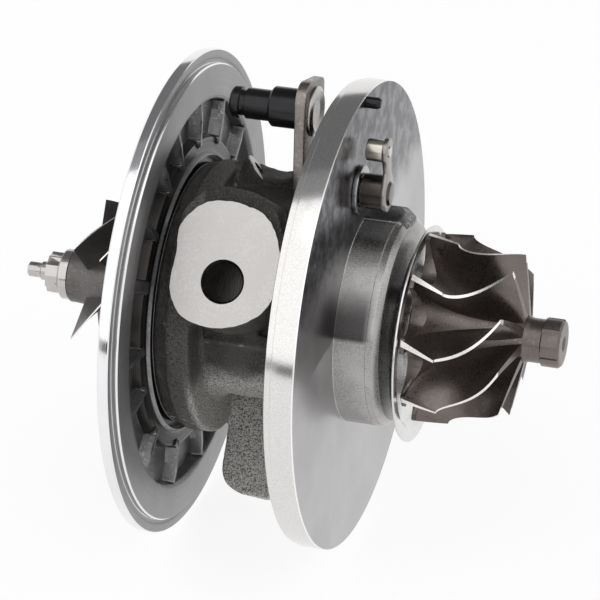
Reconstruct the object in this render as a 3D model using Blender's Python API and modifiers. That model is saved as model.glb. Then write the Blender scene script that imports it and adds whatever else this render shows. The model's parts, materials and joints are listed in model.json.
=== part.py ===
"""Turbocharger cartridge: the bearing housing, its rotor and its vane lever, in metres with +Z up.

X is the shaft axis with the turbine towards +X. Lengths along the shaft are counted from the front
face of the turbine flange. The model stands on the rim of the compressor backplate.
"""

import math

import bmesh
import bpy
from mathutils import Matrix, Vector

# Gaps and fineness
SEAT_GAP = 0.0003
RUNNING_CLEARANCE = 0.00015
DISC_STEPS = 42
BODY_STEPS = 32
BORE_STEPS = 16
SMALL_STEPS = 10
DRILL_STEPS = 8
CURVE_STEPS = 8
MERGE_DISTANCE = 0.00001
OVERLAP = 0.0010

# Turbine flange and its nose
FLANGE_RADIUS = 0.0600
FLANGE_THICKNESS = 0.00755
FLANGE_STEP_WIDTH = 0.0017
FLANGE_STEP_DEPTH = 0.0005
NOSE_RADIUS = 0.0270
NOSE_BAND = 0.0082
NOSE_STEP_DEPTH = 0.0004
NOSE_LENGTH = 0.0113
NOSE_FACE_RADIUS = 0.0252
SEAL_BOSS_WALL = 0.0016
SEAL_BOSS_LENGTH = 0.0031
KEY_Y = 0.0050
KEY_WIDTH = 0.0090
KEY_TOP = 0.0276
KEY_DEPTH = 0.0060
KEY_END_X = 0.0090
KEY_SLOPE = 0.0024

# Cast body of the bearing housing
HOUSING_LENGTH = 0.0442
NECK_RADIUS = 0.0200
CORE_RADIUS = 0.0278
CORE_RISE = 0.0034
CORE_FILLET = 0.0040
CORE_BACK_FILLET = 0.0025
CORE_FILLET_STEPS = 3
FILLET_SINK = 0.0002
COMPRESSOR_FLANGE_RADIUS = 0.0350
COMPRESSOR_FLANGE_THICKNESS = 0.0062
SEAT_RADIUS = 0.0340
SEAT_HEIGHT = 0.0032

# Oil inlet pad, with its outline seen along the port from outside, about the port
OIL_ANGLE = math.radians(147.0)
OIL_PORT_X = -0.0256
OIL_PAD_HEIGHT = 0.0417
OIL_PAD_ROOT = 0.0180
OIL_PORT_RADIUS = 0.00485
OIL_PORT_DEPTH = 0.0120
OIL_PORT_CHAMFER = 0.0009
OIL_GALLERY_RADIUS = 0.0016
GALLERY_HEIGHT = 0.0160
OIL_PAD_OUTLINE = (
    (-0.0131, -0.0034),
    (-0.0128, 0.0049),
    (-0.0130, 0.0121),
    (-0.0088, 0.0178),
    (-0.0025, 0.0199),
    (0.0068, 0.0182),
    (0.0119, 0.0122),
    (0.0142, 0.0020),
    (0.0110, -0.0064),
    (0.0025, -0.0112),
    (-0.0080, -0.0102),
)
PAD_LEDGE_RISE = 0.0030
PAD_LEDGE_DROP = 0.0009
PAD_LEDGE_SIZE = 1.03
PAD_RIB_WIDTH = 0.0035
PAD_RIB_DROP = 0.0122
PAD_RIB_HEIGHT = 0.0268
PAD_RIB_END_X = -0.0330

# Oil drain boss, on the far side from the inlet
DRAIN_HEIGHT = 0.0340
DRAIN_ROOT = 0.0155
DRAIN_LEFT = -0.0350
DRAIN_LOW = 0.0492
DRAIN_HIGH = -0.0200
DRAIN_CORNER = 0.0075
DRAIN_PORT_X = -0.0198
DRAIN_PORT_RADIUS = 0.0080
DRAIN_PORT_END = 0.0030
DRAIN_BOLT_SPACING = 0.0440
DRAIN_BOLT_RADIUS = 0.0034
DRAIN_BOLT_DEPTH = 0.0110
THRUST_DRAIN_RADIUS = 0.0030
THRUST_DRAIN_FALL = 0.0060
SLINGER_DRAIN_RADIUS = 0.0019

# Cast lug beside the compressor flange
LUG_RADIUS = 0.0060
LUG_FACE_X = -0.0300
LUG_FACE_DROP = -0.0315
LUG_FACE_NEAR = 0.0090
LUG_LENGTH = 0.0090
LUG_TILT = math.radians(42.0)
LUG_PORT_RADIUS = 0.0033
LUG_PORT_DEPTH = 0.0050

# Cast web between the lug and the turbine flange, as (x, z) along its top
SADDLE_TOP = (
    (-0.0310, 0.0335),
    (-0.0280, 0.0326),
    (-0.0245, 0.0320),
    (-0.0212, 0.0329),
    (-0.0190, 0.0345),
    (-0.0066, 0.0345),
)
SADDLE_LOW = 0.0200
SADDLE_NEAR = 0.0050
SADDLE_FAR = 0.0120

# Rotor shaft, from the turbine end
WELD_BOSS_LENGTH = 0.0037
SEAL_HUB_RADIUS = 0.0069
SEAL_HUB_LENGTH = 0.0076
JOURNAL_RADIUS = 0.0040
STUD_RADIUS = 0.0025
THREAD_PROUD = 0.0026
STUB_RADIUS = 0.0020
STUB_LENGTH = 0.0035
RING_GROOVE_WIDTH = 0.0017
RING_GROOVE_DEPTH = 0.0011
SEAL_RING_WIDTH = 0.0011
SEAL_RING_HEIGHT = 0.0009
SEAL_RING_SPLIT = 0.0006
TURBINE_RING_X = 0.0090
COMPRESSOR_RING_X = -0.0473

# Floating bushes, their spacer and circlips
BUSH_WALL = 0.0024
BUSH_LENGTH = 0.0070
BUSH_OIL_HOLE_RADIUS = 0.0009
BUSH_OIL_HOLES = 4
TURBINE_BUSH_X = -0.0050
COMPRESSOR_BUSH_X = -0.0255
BUSH_END_PLAY = 0.0004
CIRCLIP_WIDTH = 0.0010
CIRCLIP_BITE = 0.0009
CIRCLIP_GAP = 0.0030
SLINGER_POCKET_RADIUS = 0.0096
SLINGER_POCKET_LENGTH = 0.0040
CAVITY_RADIUS = 0.0110
SPACER_WALL = 0.0018

# Thrust parts, in the recess at the compressor end
THRUST_RECESS_RADIUS = 0.0165
THRUST_RECESS_DEPTH = 0.0087
THRUST_COLLAR_RADIUS = 0.0092
THRUST_COLLAR_THICKNESS = 0.0028
THRUST_BEARING_THICKNESS = 0.0030
THRUST_NOTCH_WIDTH = 0.0110
THRUST_PADS = 5
THRUST_GROOVE_WIDTH = 0.0010
THRUST_GROOVE_DEPTH = 0.0005
FLINGER_NECK_RADIUS = 0.0055
FLINGER_RADIUS = 0.0108
FLINGER_THICKNESS = 0.0009
SLEEVE_RADIUS = 0.0080
DEFLECTOR_THICKNESS = 0.0008
DEFLECTOR_LIP = 0.0010

# Compressor backplate
PLATE_RIM_WIDTH = 0.00365
PLATE_RIM_THICKNESS = 0.00296
SHOULDER_WIDTH = 0.0088
SHOULDER_HEIGHT = 0.00122
POCKET_INNER_RADIUS = 0.0400
POCKET_OUTER_RADIUS = 0.0505
POCKET_DEPTH = 0.0034
POCKET_DRAFT = 0.0006
INNER_LAND_START = 0.0356
INNER_LAND_DROP = 0.0010
WHEEL_RECESS_GAP = 0.0015
WHEEL_RECESS_DEPTH = 0.0003
SPIGOT_LENGTH = 0.0030
RIB_THICKNESS = 0.0018
RIB_DROP = 0.0002
RIB_ROOT = 0.0004
RIB_OVERHANG = 0.0016
RIB_TOP_SHARE = 0.8
RIB_DEGREES = (8, 34.5, 58.5, 81, 101, 115, 134, 176.5, 193, 219, 248, 274, 297, 320, 343)
WIDE_RIB_DEGREES = 152.7
WIDE_RIB_THICKNESS = 0.0034
O_RING_CIRCLE = 0.03075
O_RING_CORD = 0.00075
O_RING_SIDES = 6
BOLT_COUNT = 4
BOLT_CIRCLE = 0.0240
BOLT_RADIUS = 0.00235
BOLT_HEAD_RADIUS = 0.0041
BOLT_HEAD_HEIGHT = 0.0022
BOLT_SEAT_DEPTH = 0.0027
BOLT_LENGTH = 0.0098
BOLT_SOCKET_RADIUS = 0.0022
BOLT_SOCKET_DEPTH = 0.0016

# Turbine wheel
TURBINE_BACK_GAP = 0.0003
TURBINE_BLADES = 9
TURBINE_RADIUS = 0.0244
TURBINE_DISC_RIM = 0.0011
TURBINE_INLET_WIDTH = 0.0087
TURBINE_OUTLET_RADIUS = 0.0209
TURBINE_TIP_LENGTH = 0.0235
TURBINE_ROOT_LENGTH = 0.0268
TURBINE_LENGTH = 0.0360
TURBINE_HUB_RADIUS = 0.0060
TURBINE_NECK_RADIUS = 0.0056
TURBINE_COLLAR_RADIUS = 0.0062
TURBINE_COLLAR_LENGTH = 0.0047
TURBINE_NOTCHES = 6
TURBINE_NOTCH_DEPTH = 0.0004
TURBINE_NOTCH_WIDTH = 0.0019
TURBINE_NOTCH_PHASE = math.radians(-22.0)
TURBINE_BLADE_TIP_THICKNESS = 0.0008
TURBINE_BLADE_ROOT_THICKNESS = 0.0017
TURBINE_PHASE = math.radians(84.4)
TURBINE_LEAN = math.radians(8.2)
TURBINE_WRAP = math.radians(30.0)
TURBINE_HUB_WRAP = math.radians(27.0)
TURBINE_WRAP_POWER = 3.5
TURBINE_EXIT_THICKENING = 0.6
SCALLOP_DEPTH = 0.0085
SCALLOP_WIDTH = 0.0128
SCALLOP_REACH = 0.0046
RIM_STEP = 0.0002

# Compressor wheel
COMPRESSOR_BACK_GAP = 0.0006
COMPRESSOR_BLADES = 5
COMPRESSOR_RADIUS = 0.0280
COMPRESSOR_HEIGHT = 0.0285
COMPRESSOR_DISC_RIM = 0.0012
COMPRESSOR_NOSE_RADIUS = 0.0070
COMPRESSOR_EYE_RADIUS = 0.0205
COMPRESSOR_EYE_SETBACK = 0.0054
COMPRESSOR_OUTLET_WIDTH = 0.0048
COMPRESSOR_SPLITTER_START = 0.30
COMPRESSOR_BLADE_TIP_THICKNESS = 0.0006
COMPRESSOR_BLADE_ROOT_THICKNESS = 0.0012
COMPRESSOR_PHASE = math.radians(61.2)
COMPRESSOR_WRAP = math.radians(60.0)
COMPRESSOR_WRAP_POWER = 1.9

# Nut on the compressor end
NUT_FLANGE_RADIUS = 0.0066
NUT_FLANGE_LENGTH = 0.0030
NUT_LENGTH = 0.0064
NUT_RADIUS = 0.0055
NUT_ROOT_SHARE = 0.9
NUT_LOBES = 12

# Heat shield, which hangs loose on the seal boss
SHIELD_RADIUS = 0.0277
SHIELD_THICKNESS = 0.0008
SHIELD_DISH = 0.0018
SHIELD_DISH_RADIUS = 0.0228
SHIELD_SAG = 0.0027
SHIELD_SLANT_SHIFT = 0.00032

# Vane lever, on its pivot through the turbine flange
PIVOT_Y = -0.0052
PIVOT_Z = 0.0377
LEVER_SHAFT_RADIUS = 0.0031
LEVER_BUSH_WALL = 0.0016
LEVER_BUSH_COLLAR_RADIUS = 0.0062
LEVER_BUSH_COLLAR_THICKNESS = 0.0010
LEVER_BUSH_PROUD = 0.0040
LEVER_SPOT_FACE = 0.0005
LEVER_SHAFT_PROUD = 0.0006
LEVER_THICKNESS = 0.0026
LEVER_HALF_WIDTH = 0.00845
LEVER_ROUND_STEPS = 10
LEVER_RELIEF = 0.0012
LEVER_PIN_REACH = 0.0190
LEVER_TOP = 0.0284
LEVER_TOP_FALL = 0.0030
LEVER_LEAN = math.radians(-4.8)
LEVER_NEAR_CORNER = 0.0050
LEVER_FAR_CORNER = 0.0022
PIN_SHANK_RADIUS = 0.0030
PIN_HEAD_RADIUS = 0.0063
PIN_HEAD_HEIGHT = 0.0012
PIN_HEAD_DISH = 0.0006
PIN_BASE_RADIUS = 0.00505
PIN_BASE_LENGTH = 0.0082
PIN_RADIUS = 0.0039
PIN_LENGTH = 0.0064
PIN_GROOVE_RADIUS = 0.00325
PIN_GROOVE_LENGTH = 0.0014
PIN_TIP_RADIUS = 0.0040
PIN_TIP_LENGTH = 0.0024
PIN_TIP_CHAMFER = 0.0006
CRANK_STANDOFF = 0.0068
CRANK_THICKNESS = 0.0012
CRANK_HUB_RADIUS = 0.0047
CRANK_TIP_RADIUS = 0.0034
CRANK_WAIST = 0.0018
NECK_ANGLE = math.radians(42.0)
CRANK_REACH = 0.0115
CRANK_LEAN = math.radians(2.0)
CRANK_PIN_RADIUS = 0.0028
CRANK_PIN_SHANK_RADIUS = 0.0014
CRANK_PIN_LENGTH = 0.0042
CRANK_PIN_PROUD = 0.0003

# Locating dowel at the rim of the turbine flange
DOWEL_RADIUS = 0.0015
DOWEL_INSET = 0.0016
DOWEL_ANGLE = math.radians(88.3)
DOWEL_PROUD = 0.0043
DOWEL_DEPTH = 0.0035

# Stations along the shaft, worked out from the sizes above
SEAT_X = -HOUSING_LENGTH
PLATE_FACE_X = SEAT_X - SEAT_GAP
RIM_FRONT_X = PLATE_FACE_X - SHOULDER_HEIGHT
RIM_BACK_X = RIM_FRONT_X - PLATE_RIM_THICKNESS
BOLT_HEAD_X = RIM_BACK_X + BOLT_SEAT_DEPTH - SEAT_GAP
COMPRESSOR_BACK_X = RIM_BACK_X - COMPRESSOR_BACK_GAP
COMPRESSOR_NOSE_X = COMPRESSOR_BACK_X - COMPRESSOR_HEIGHT
NUT_X = COMPRESSOR_NOSE_X - SEAT_GAP
NUT_END_X = NUT_X - NUT_LENGTH
THREAD_END_X = NUT_END_X - THREAD_PROUD
SHAFT_END_X = THREAD_END_X - STUB_LENGTH
BOSS_END_X = NOSE_LENGTH + SEAL_BOSS_LENGTH
SHIELD_FRONT_X = BOSS_END_X - SEAT_GAP + SHIELD_DISH
TURBINE_BACK_X = SHIELD_FRONT_X + TURBINE_BACK_GAP
TURBINE_END_X = TURBINE_BACK_X + TURBINE_LENGTH
WELD_X = TURBINE_BACK_X - WELD_BOSS_LENGTH
SEAL_HUB_END_X = WELD_X - SEAT_GAP - SEAL_HUB_LENGTH
THRUST_FLOOR_X = SEAT_X + THRUST_RECESS_DEPTH
THRUST_BEARING_X = THRUST_FLOOR_X - SEAT_GAP
JOURNAL_END_X = THRUST_BEARING_X + THRUST_COLLAR_THICKNESS + 2 * SEAT_GAP
TURBINE_CIRCLIP_X = TURBINE_BUSH_X + (BUSH_LENGTH + CIRCLIP_WIDTH) / 2 + BUSH_END_PLAY
COMPRESSOR_CIRCLIP_X = COMPRESSOR_BUSH_X - (BUSH_LENGTH + CIRCLIP_WIDTH) / 2 - BUSH_END_PLAY
CAVITY_FRONT_X = TURBINE_BUSH_X - BUSH_LENGTH / 2 - BUSH_END_PLAY
CAVITY_BACK_X = COMPRESSOR_BUSH_X + BUSH_LENGTH / 2 + BUSH_END_PLAY
FLINGER_X = THRUST_BEARING_X - THRUST_BEARING_THICKNESS - SEAT_GAP
SPIGOT_X = PLATE_FACE_X + SPIGOT_LENGTH
COMPRESSOR_FLANGE_X = SEAT_X + SEAT_HEIGHT + COMPRESSOR_FLANGE_THICKNESS
LEVER_X = -FLANGE_THICKNESS - LEVER_BUSH_PROUD - SEAT_GAP
CRANK_FRONT_X = CRANK_STANDOFF + CRANK_THICKNESS

# Radii that follow from the sizes above
SHOULDER_RADIUS = POCKET_OUTER_RADIUS + SHOULDER_WIDTH
PLATE_RADIUS = SHOULDER_RADIUS + PLATE_RIM_WIDTH
WHEEL_RECESS_RADIUS = COMPRESSOR_RADIUS + WHEEL_RECESS_GAP
DOWEL_CIRCLE = FLANGE_RADIUS - DOWEL_INSET
BUSH_BORE = JOURNAL_RADIUS + RUNNING_CLEARANCE
BUSH_RADIUS = BUSH_BORE + BUSH_WALL
BEARING_BORE = BUSH_RADIUS + RUNNING_CLEARANCE
SEAL_BORE = SEAL_HUB_RADIUS + 2 * SEAT_GAP
SEAL_BOSS_RADIUS = SEAL_BORE + SEAL_BOSS_WALL
SHIELD_BORE = SEAL_BOSS_RADIUS + SHIELD_SAG + SEAT_GAP
SLEEVE_BORE = STUD_RADIUS + SEAT_GAP
PLATE_BORE = SLEEVE_RADIUS + 2 * SEAT_GAP
SPIGOT_RADIUS = THRUST_RECESS_RADIUS - 2 * SEAT_GAP
LEVER_BUSH_BORE = LEVER_SHAFT_RADIUS + RUNNING_CLEARANCE
LEVER_BUSH_RADIUS = LEVER_BUSH_BORE + LEVER_BUSH_WALL

# Where the shaft lies in the model's own frame
SHAFT_X = -(TURBINE_END_X + SHAFT_END_X) / 2
SHAFT_HEIGHT = PLATE_RADIUS * math.cos(math.pi / DISC_STEPS)


def clear_scene():
    for obj in list(bpy.data.objects):
        bpy.data.objects.remove(obj, do_unlink=True)


def new_collection(name):
    collection = bpy.data.collections.new(name)
    bpy.context.scene.collection.children.link(collection)
    return collection


def new_material(name, colour, roughness, metallic):
    material = bpy.data.materials.new(name)
    material.use_nodes = True
    shader = material.node_tree.nodes["Principled BSDF"]
    shader.inputs["Base Color"].default_value = (*colour, 1.0)
    shader.inputs["Roughness"].default_value = roughness
    shader.inputs["Metallic"].default_value = metallic
    return material


def new_empty(name, location, parent=None):
    empty = bpy.data.objects.new(name, None)
    empty.empty_display_size = 0.01
    empty.location = location
    empty.parent = parent
    PARTS.objects.link(empty)
    return empty


def place(obj, helper, parent=None):
    """Links a piece to the model, or a helper to the hidden collection, under its parent."""
    obj.parent = parent or SHAFT_AXIS
    if helper:
        HELPERS.objects.link(obj)
        obj.hide_render = True
        obj.display_type = "WIRE"
    else:
        PARTS.objects.link(obj)
    return obj


def finish(obj, material, smooth_angle=math.radians(40)):
    """Gives a piece its own copy of the material."""
    own = material.copy()
    own.name = obj.name
    obj.data.materials.clear()
    obj.data.materials.append(own)
    if obj.data.polygons:
        obj.data.shade_smooth()
        obj.data.set_sharp_from_angle(angle=smooth_angle)
    return obj


def turned(name, profile, steps=BODY_STEPS, helper=False, parent=None, centre=(0.0, 0.0)):
    """A solid turned about X. Its (x, radius) points run down the outer side from +X to -X."""
    closed_on_axis = profile[0][1] == 0.0
    points = [(x, radius, 0.0) for x, radius in profile]
    edges = [(i, i + 1) for i in range(len(points) - 1)]
    if not closed_on_axis:
        edges.append((len(points) - 1, 0))
    mesh = bpy.data.meshes.new(name)
    mesh.from_pydata(points, edges, [])
    obj = place(bpy.data.objects.new(name, mesh), helper, parent)
    obj.location = (0.0, *centre)
    screw = obj.modifiers.new("Turn", "SCREW")
    screw.axis = "X"
    screw.steps = steps
    screw.render_steps = steps
    screw.use_merge_vertices = True
    screw.merge_threshold = MERGE_DISTANCE
    screw.use_smooth_shade = True
    return obj


def ring(name, front, back, outer, inner, steps=BORE_STEPS, helper=False, centre=(0.0, 0.0)):
    profile = [(front, outer), (back, outer), (back, inner), (front, inner)]
    return turned(name, profile, steps, helper, centre=centre)


def rod(name, start, end, radius, end_radius=None, steps=BORE_STEPS, helper=True, parent=None):
    """A cylinder or cone between two points."""
    start = Vector(start)
    end = Vector(end)
    along = end - start
    turn = along.to_track_quat("Z", "Y").to_matrix().to_4x4()
    bm = bmesh.new()
    bmesh.ops.create_cone(
        bm,
        cap_ends=True,
        segments=steps,
        radius1=radius,
        radius2=radius if end_radius is None else end_radius,
        depth=along.length,
        matrix=Matrix.Translation((start + end) / 2) @ turn,
    )
    return from_bmesh(name, bm, helper, parent)


def box(name, low, high, matrix=None, helper=True, parent=None):
    """A box between two corners, in the frame that the matrix gives."""
    low = Vector(low)
    high = Vector(high)
    size = Matrix.Diagonal((*(high - low), 1.0))
    bm = bmesh.new()
    bmesh.ops.create_cube(bm, size=1.0, matrix=Matrix.Translation((low + high) / 2) @ size)
    if matrix is not None:
        bm.transform(matrix)
    return from_bmesh(name, bm, helper, parent)


def from_bmesh(name, bm, helper, parent=None):
    bmesh.ops.recalc_face_normals(bm, faces=bm.faces)
    mesh = bpy.data.meshes.new(name)
    bm.to_mesh(mesh)
    bm.free()
    return place(bpy.data.objects.new(name, mesh), helper, parent)


def extruded(name, outline, low, high, matrix, smooth=False, helper=True, parent=None):
    """A flat outline thickened from low to high along its own Z, placed by the matrix."""
    curve = bpy.data.curves.new(name, "CURVE")
    curve.dimensions = "2D"
    curve.fill_mode = "BOTH"
    curve.extrude = (high - low) / 2
    spline = curve.splines.new("BEZIER" if smooth else "POLY")
    points = spline.bezier_points if smooth else spline.points
    points.add(len(outline) - 1)
    for point, (x, y) in zip(points, outline):
        point.co = (x, y, 0.0) if smooth else (x, y, 0.0, 1.0)
        if smooth:
            point.handle_left_type = "AUTO"
            point.handle_right_type = "AUTO"
    spline.use_cyclic_u = True
    curve.resolution_u = 3
    guide = bpy.data.objects.new(name, curve)
    bpy.context.scene.collection.objects.link(guide)
    graph = bpy.context.evaluated_depsgraph_get()
    mesh = bpy.data.meshes.new_from_object(guide.evaluated_get(graph))
    bm = bmesh.new()
    bm.from_mesh(mesh)
    bmesh.ops.remove_doubles(bm, verts=bm.verts, dist=MERGE_DISTANCE)
    bm.transform(matrix @ Matrix.Translation((0.0, 0.0, (low + high) / 2)))
    bpy.data.objects.remove(guide, do_unlink=True)
    bpy.data.meshes.remove(mesh)
    return from_bmesh(name, bm, helper, parent)


def boolean(obj, operation, others):
    """Joins or cuts a piece with one helper after another."""
    for other in others:
        modifier = obj.modifiers.new(operation.title() + " " + other.name, "BOOLEAN")
        modifier.operation = operation
        modifier.object = other
    return obj


def rounded(corners, segments=6):
    """A closed outline from (x, y, radius) corners, with each corner an arc."""
    outline = []
    count = len(corners)
    for i, (x, y, radius) in enumerate(corners):
        here = Vector((x, y))
        before = Vector(corners[i - 1][:2]) - here
        after = Vector(corners[(i + 1) % count][:2]) - here
        if radius <= 0.0:
            outline.append((x, y))
            continue
        before.normalize()
        after.normalize()
        half = before.angle(after) / 2
        reach = radius / math.tan(half)
        centre = here + (before + after).normalized() * (radius / math.sin(half))
        start = here + before * reach - centre
        end = here + after * reach - centre
        turn = start.angle_signed(end)
        for step in range(segments + 1):
            spoke = start.copy()
            spoke.rotate(Matrix.Rotation(-turn * step / segments, 2))
            outline.append(tuple(centre + spoke))
    return outline


def outward(angle, x=0.0):
    """The frame whose Z points away from the shaft at this angle from +Y, with X along the shaft."""
    out = Vector((0.0, math.cos(angle), math.sin(angle)))
    side = out.cross(Vector((1.0, 0.0, 0.0)))
    turn = Matrix((Vector((1.0, 0.0, 0.0)), side, out)).transposed().to_4x4()
    return Matrix.Translation((x, 0.0, 0.0)) @ turn


def around(radius, angle, x=0.0):
    return Vector((x, radius * math.cos(angle), radius * math.sin(angle)))


def quarter(start, end, steps, flat_at_start):
    """Points on a quarter ellipse of (x, radius), level with the shaft at one end."""
    points = []
    for step in range(steps + 1):
        turn = math.pi / 2 * step / steps
        along, out = (math.sin(turn), 1 - math.cos(turn))
        if not flat_at_start:
            along, out = (1 - math.cos(turn), math.sin(turn))
        points.append(
            (start[0] + (end[0] - start[0]) * along, start[1] + (end[1] - start[1]) * out)
        )
    return points


def along_line(points, share):
    """The point at this share of a list of points, counted by index."""
    place_in_list = share * (len(points) - 1)
    i = min(int(place_in_list), len(points) - 2)
    part = place_in_list - i
    (x0, r0), (x1, r1) = points[i], points[i + 1]
    return x0 + (x1 - x0) * part, r0 + (r1 - r0) * part


def blade(name, root, tip, angle_at, thickness_at, start=0.0, chord_steps=CURVE_STEPS, span_steps=2):
    """A closed blade lofted from its root line to its tip line, both lists of (x, radius)."""
    bm = bmesh.new()
    sides = []
    for side in (-0.5, 0.5):
        rows = []
        for i in range(chord_steps + 1):
            chord = start + (1 - start) * i / chord_steps
            x_root, r_root = along_line(root, chord)
            x_tip, r_tip = along_line(tip, chord)
            row = []
            for j in range(span_steps + 1):
                span = j / span_steps
                x = x_root + (x_tip - x_root) * span
                radius = r_root + (r_tip - r_root) * span
                angle = angle_at(chord, span) + side * thickness_at(chord, span) / radius
                row.append(bm.verts.new(around(radius, angle, x)))
            rows.append(row)
        sides.append(rows)
    for rows in sides:
        for i in range(chord_steps):
            for j in range(span_steps):
                bm.faces.new((rows[i][j], rows[i + 1][j], rows[i + 1][j + 1], rows[i][j + 1]))
    first, second = sides
    edge = [(i, 0) for i in range(chord_steps + 1)]
    edge += [(chord_steps, j) for j in range(1, span_steps + 1)]
    edge += [(i, span_steps) for i in range(chord_steps - 1, -1, -1)]
    edge += [(0, j) for j in range(span_steps - 1, 0, -1)]
    for (i, j), (k, m) in zip(edge, edge[1:] + edge[:1]):
        bm.faces.new((first[i][j], first[k][m], second[k][m], second[i][j]))
    return from_bmesh(name, bm, helper=True)


def repeated(obj, count, name):
    """The helper and its copies, spread evenly round the shaft."""
    copies = [obj]
    for i in range(1, count):
        copy = bpy.data.objects.new(f"{name} {i + 1}", obj.data)
        place(copy, helper=True)
        copy.rotation_euler.x = 2 * math.pi * i / count
        copies.append(copy)
    return copies


def joined(name, helpers):
    """One closed helper mesh that holds shapes which stay clear of each other."""
    bm = bmesh.new()
    for obj in helpers:
        start = len(bm.verts)
        bm.from_mesh(obj.data)
        bm.verts.ensure_lookup_table()
        turn = Matrix.Rotation(obj.rotation_euler.x, 4, "X")
        bmesh.ops.transform(bm, matrix=turn, verts=bm.verts[start:])
        bpy.data.objects.remove(obj, do_unlink=True)
    return from_bmesh(name, bm, helper=True)


def turbine_wheel():
    hub = quarter(
        (TURBINE_BACK_X + TURBINE_ROOT_LENGTH, TURBINE_HUB_RADIUS),
        (TURBINE_BACK_X + TURBINE_DISC_RIM, TURBINE_RADIUS - RIM_STEP),
        steps=CURVE_STEPS,
        flat_at_start=True,
    )
    collar_x = TURBINE_END_X - TURBINE_COLLAR_LENGTH
    profile = [
        (TURBINE_END_X, 0.0),
        (TURBINE_END_X, TURBINE_COLLAR_RADIUS - 2 * SEAT_GAP),
        (TURBINE_END_X - 2 * SEAT_GAP, TURBINE_COLLAR_RADIUS),
        (collar_x, TURBINE_COLLAR_RADIUS),
        (collar_x - SEAT_GAP, TURBINE_NECK_RADIUS),
        (TURBINE_BACK_X + TURBINE_ROOT_LENGTH + OVERLAP, TURBINE_NECK_RADIUS),
        *hub,
        (TURBINE_BACK_X, TURBINE_RADIUS - RIM_STEP),
        (TURBINE_BACK_X, SEAL_HUB_RADIUS),
        (WELD_X, SEAL_HUB_RADIUS),
        (WELD_X, 0.0),
    ]
    wheel = turned("turbine_wheel", profile, steps=4 * TURBINE_BLADES)
    boolean(wheel, "DIFFERENCE", [turbine_scallops(), turbine_notches()])
    boolean(wheel, "UNION", [turbine_blades(hub)])
    return finish(wheel, CAST_ALLOY)


def turbine_scallops():
    """The bites taken out of the back disc between the blades."""
    pitch = 2 * math.pi / TURBINE_BLADES
    angle = TURBINE_PHASE + TURBINE_LEAN / 4 + pitch / 2
    scallop = rod(
        "scallop",
        (TURBINE_BACK_X - OVERLAP, 0.0, 0.0),
        (TURBINE_BACK_X + SCALLOP_REACH, 0.0, 0.0),
        radius=1.0,
        steps=SMALL_STEPS,
    )
    stretch = Matrix.Diagonal((1.0, SCALLOP_WIDTH / 2, SCALLOP_DEPTH, 1.0))
    turn = Matrix.Rotation(angle - math.pi / 2, 4, "X")
    shift = Matrix.Translation((0.0, 0.0, TURBINE_RADIUS))
    scallop.data.transform(turn @ shift @ stretch)
    return joined("scallops", repeated(scallop, TURBINE_BLADES, "scallop"))


def turbine_notches():
    """The notches round the collar that the wheel is held by."""
    low = (
        TURBINE_END_X - TURBINE_COLLAR_LENGTH - OVERLAP,
        -TURBINE_NOTCH_WIDTH / 2,
        TURBINE_COLLAR_RADIUS - TURBINE_NOTCH_DEPTH,
    )
    high = (TURBINE_END_X + OVERLAP, TURBINE_NOTCH_WIDTH / 2, TURBINE_COLLAR_RADIUS + OVERLAP)
    notch = box("notch", low, high, Matrix.Rotation(TURBINE_NOTCH_PHASE, 4, "X"))
    return joined("notches", repeated(notch, TURBINE_NOTCHES, "notch"))


def turbine_blades(hub):
    back = TURBINE_BACK_X
    tip = quarter(
        (back + TURBINE_TIP_LENGTH, TURBINE_OUTLET_RADIUS),
        (back + TURBINE_INLET_WIDTH, TURBINE_RADIUS),
        steps=CURVE_STEPS,
        flat_at_start=True,
    )
    root = []
    for step, (x, radius) in enumerate(reversed(hub)):
        share = step / (len(hub) - 1)
        root.append((x - TURBINE_DISC_RIM / 2 * (1 - share), radius - OVERLAP * share))
    root[0] = (root[0][0], TURBINE_RADIUS)

    def angle_at(chord, span):
        wrap = TURBINE_HUB_WRAP + (TURBINE_WRAP - TURBINE_HUB_WRAP) * span
        return TURBINE_PHASE + TURBINE_LEAN * span - wrap * chord**TURBINE_WRAP_POWER

    def thickness_at(chord, span):
        root_size = TURBINE_BLADE_ROOT_THICKNESS
        growth = 1 + TURBINE_EXIT_THICKENING * chord
        return growth * (root_size + (TURBINE_BLADE_TIP_THICKNESS - root_size) * span)

    first = blade("turbine blade", root, tip[::-1], angle_at, thickness_at)
    return joined("turbine blades", repeated(first, TURBINE_BLADES, "turbine blade"))


def compressor_wheel():
    profile = [
        (COMPRESSOR_BACK_X, COMPRESSOR_RADIUS),
        *quarter(
            (COMPRESSOR_BACK_X - COMPRESSOR_DISC_RIM, COMPRESSOR_RADIUS),
            (COMPRESSOR_NOSE_X, COMPRESSOR_NOSE_RADIUS),
            steps=CURVE_STEPS,
            flat_at_start=False,
        ),
        (COMPRESSOR_NOSE_X, SLEEVE_BORE),
        (COMPRESSOR_BACK_X, SLEEVE_BORE),
    ]
    wheel = turned("compressor_wheel", profile, steps=8 * COMPRESSOR_BLADES)
    boolean(wheel, "UNION", [compressor_blades()])
    return finish(wheel, MACHINED_ALUMINIUM)


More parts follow.
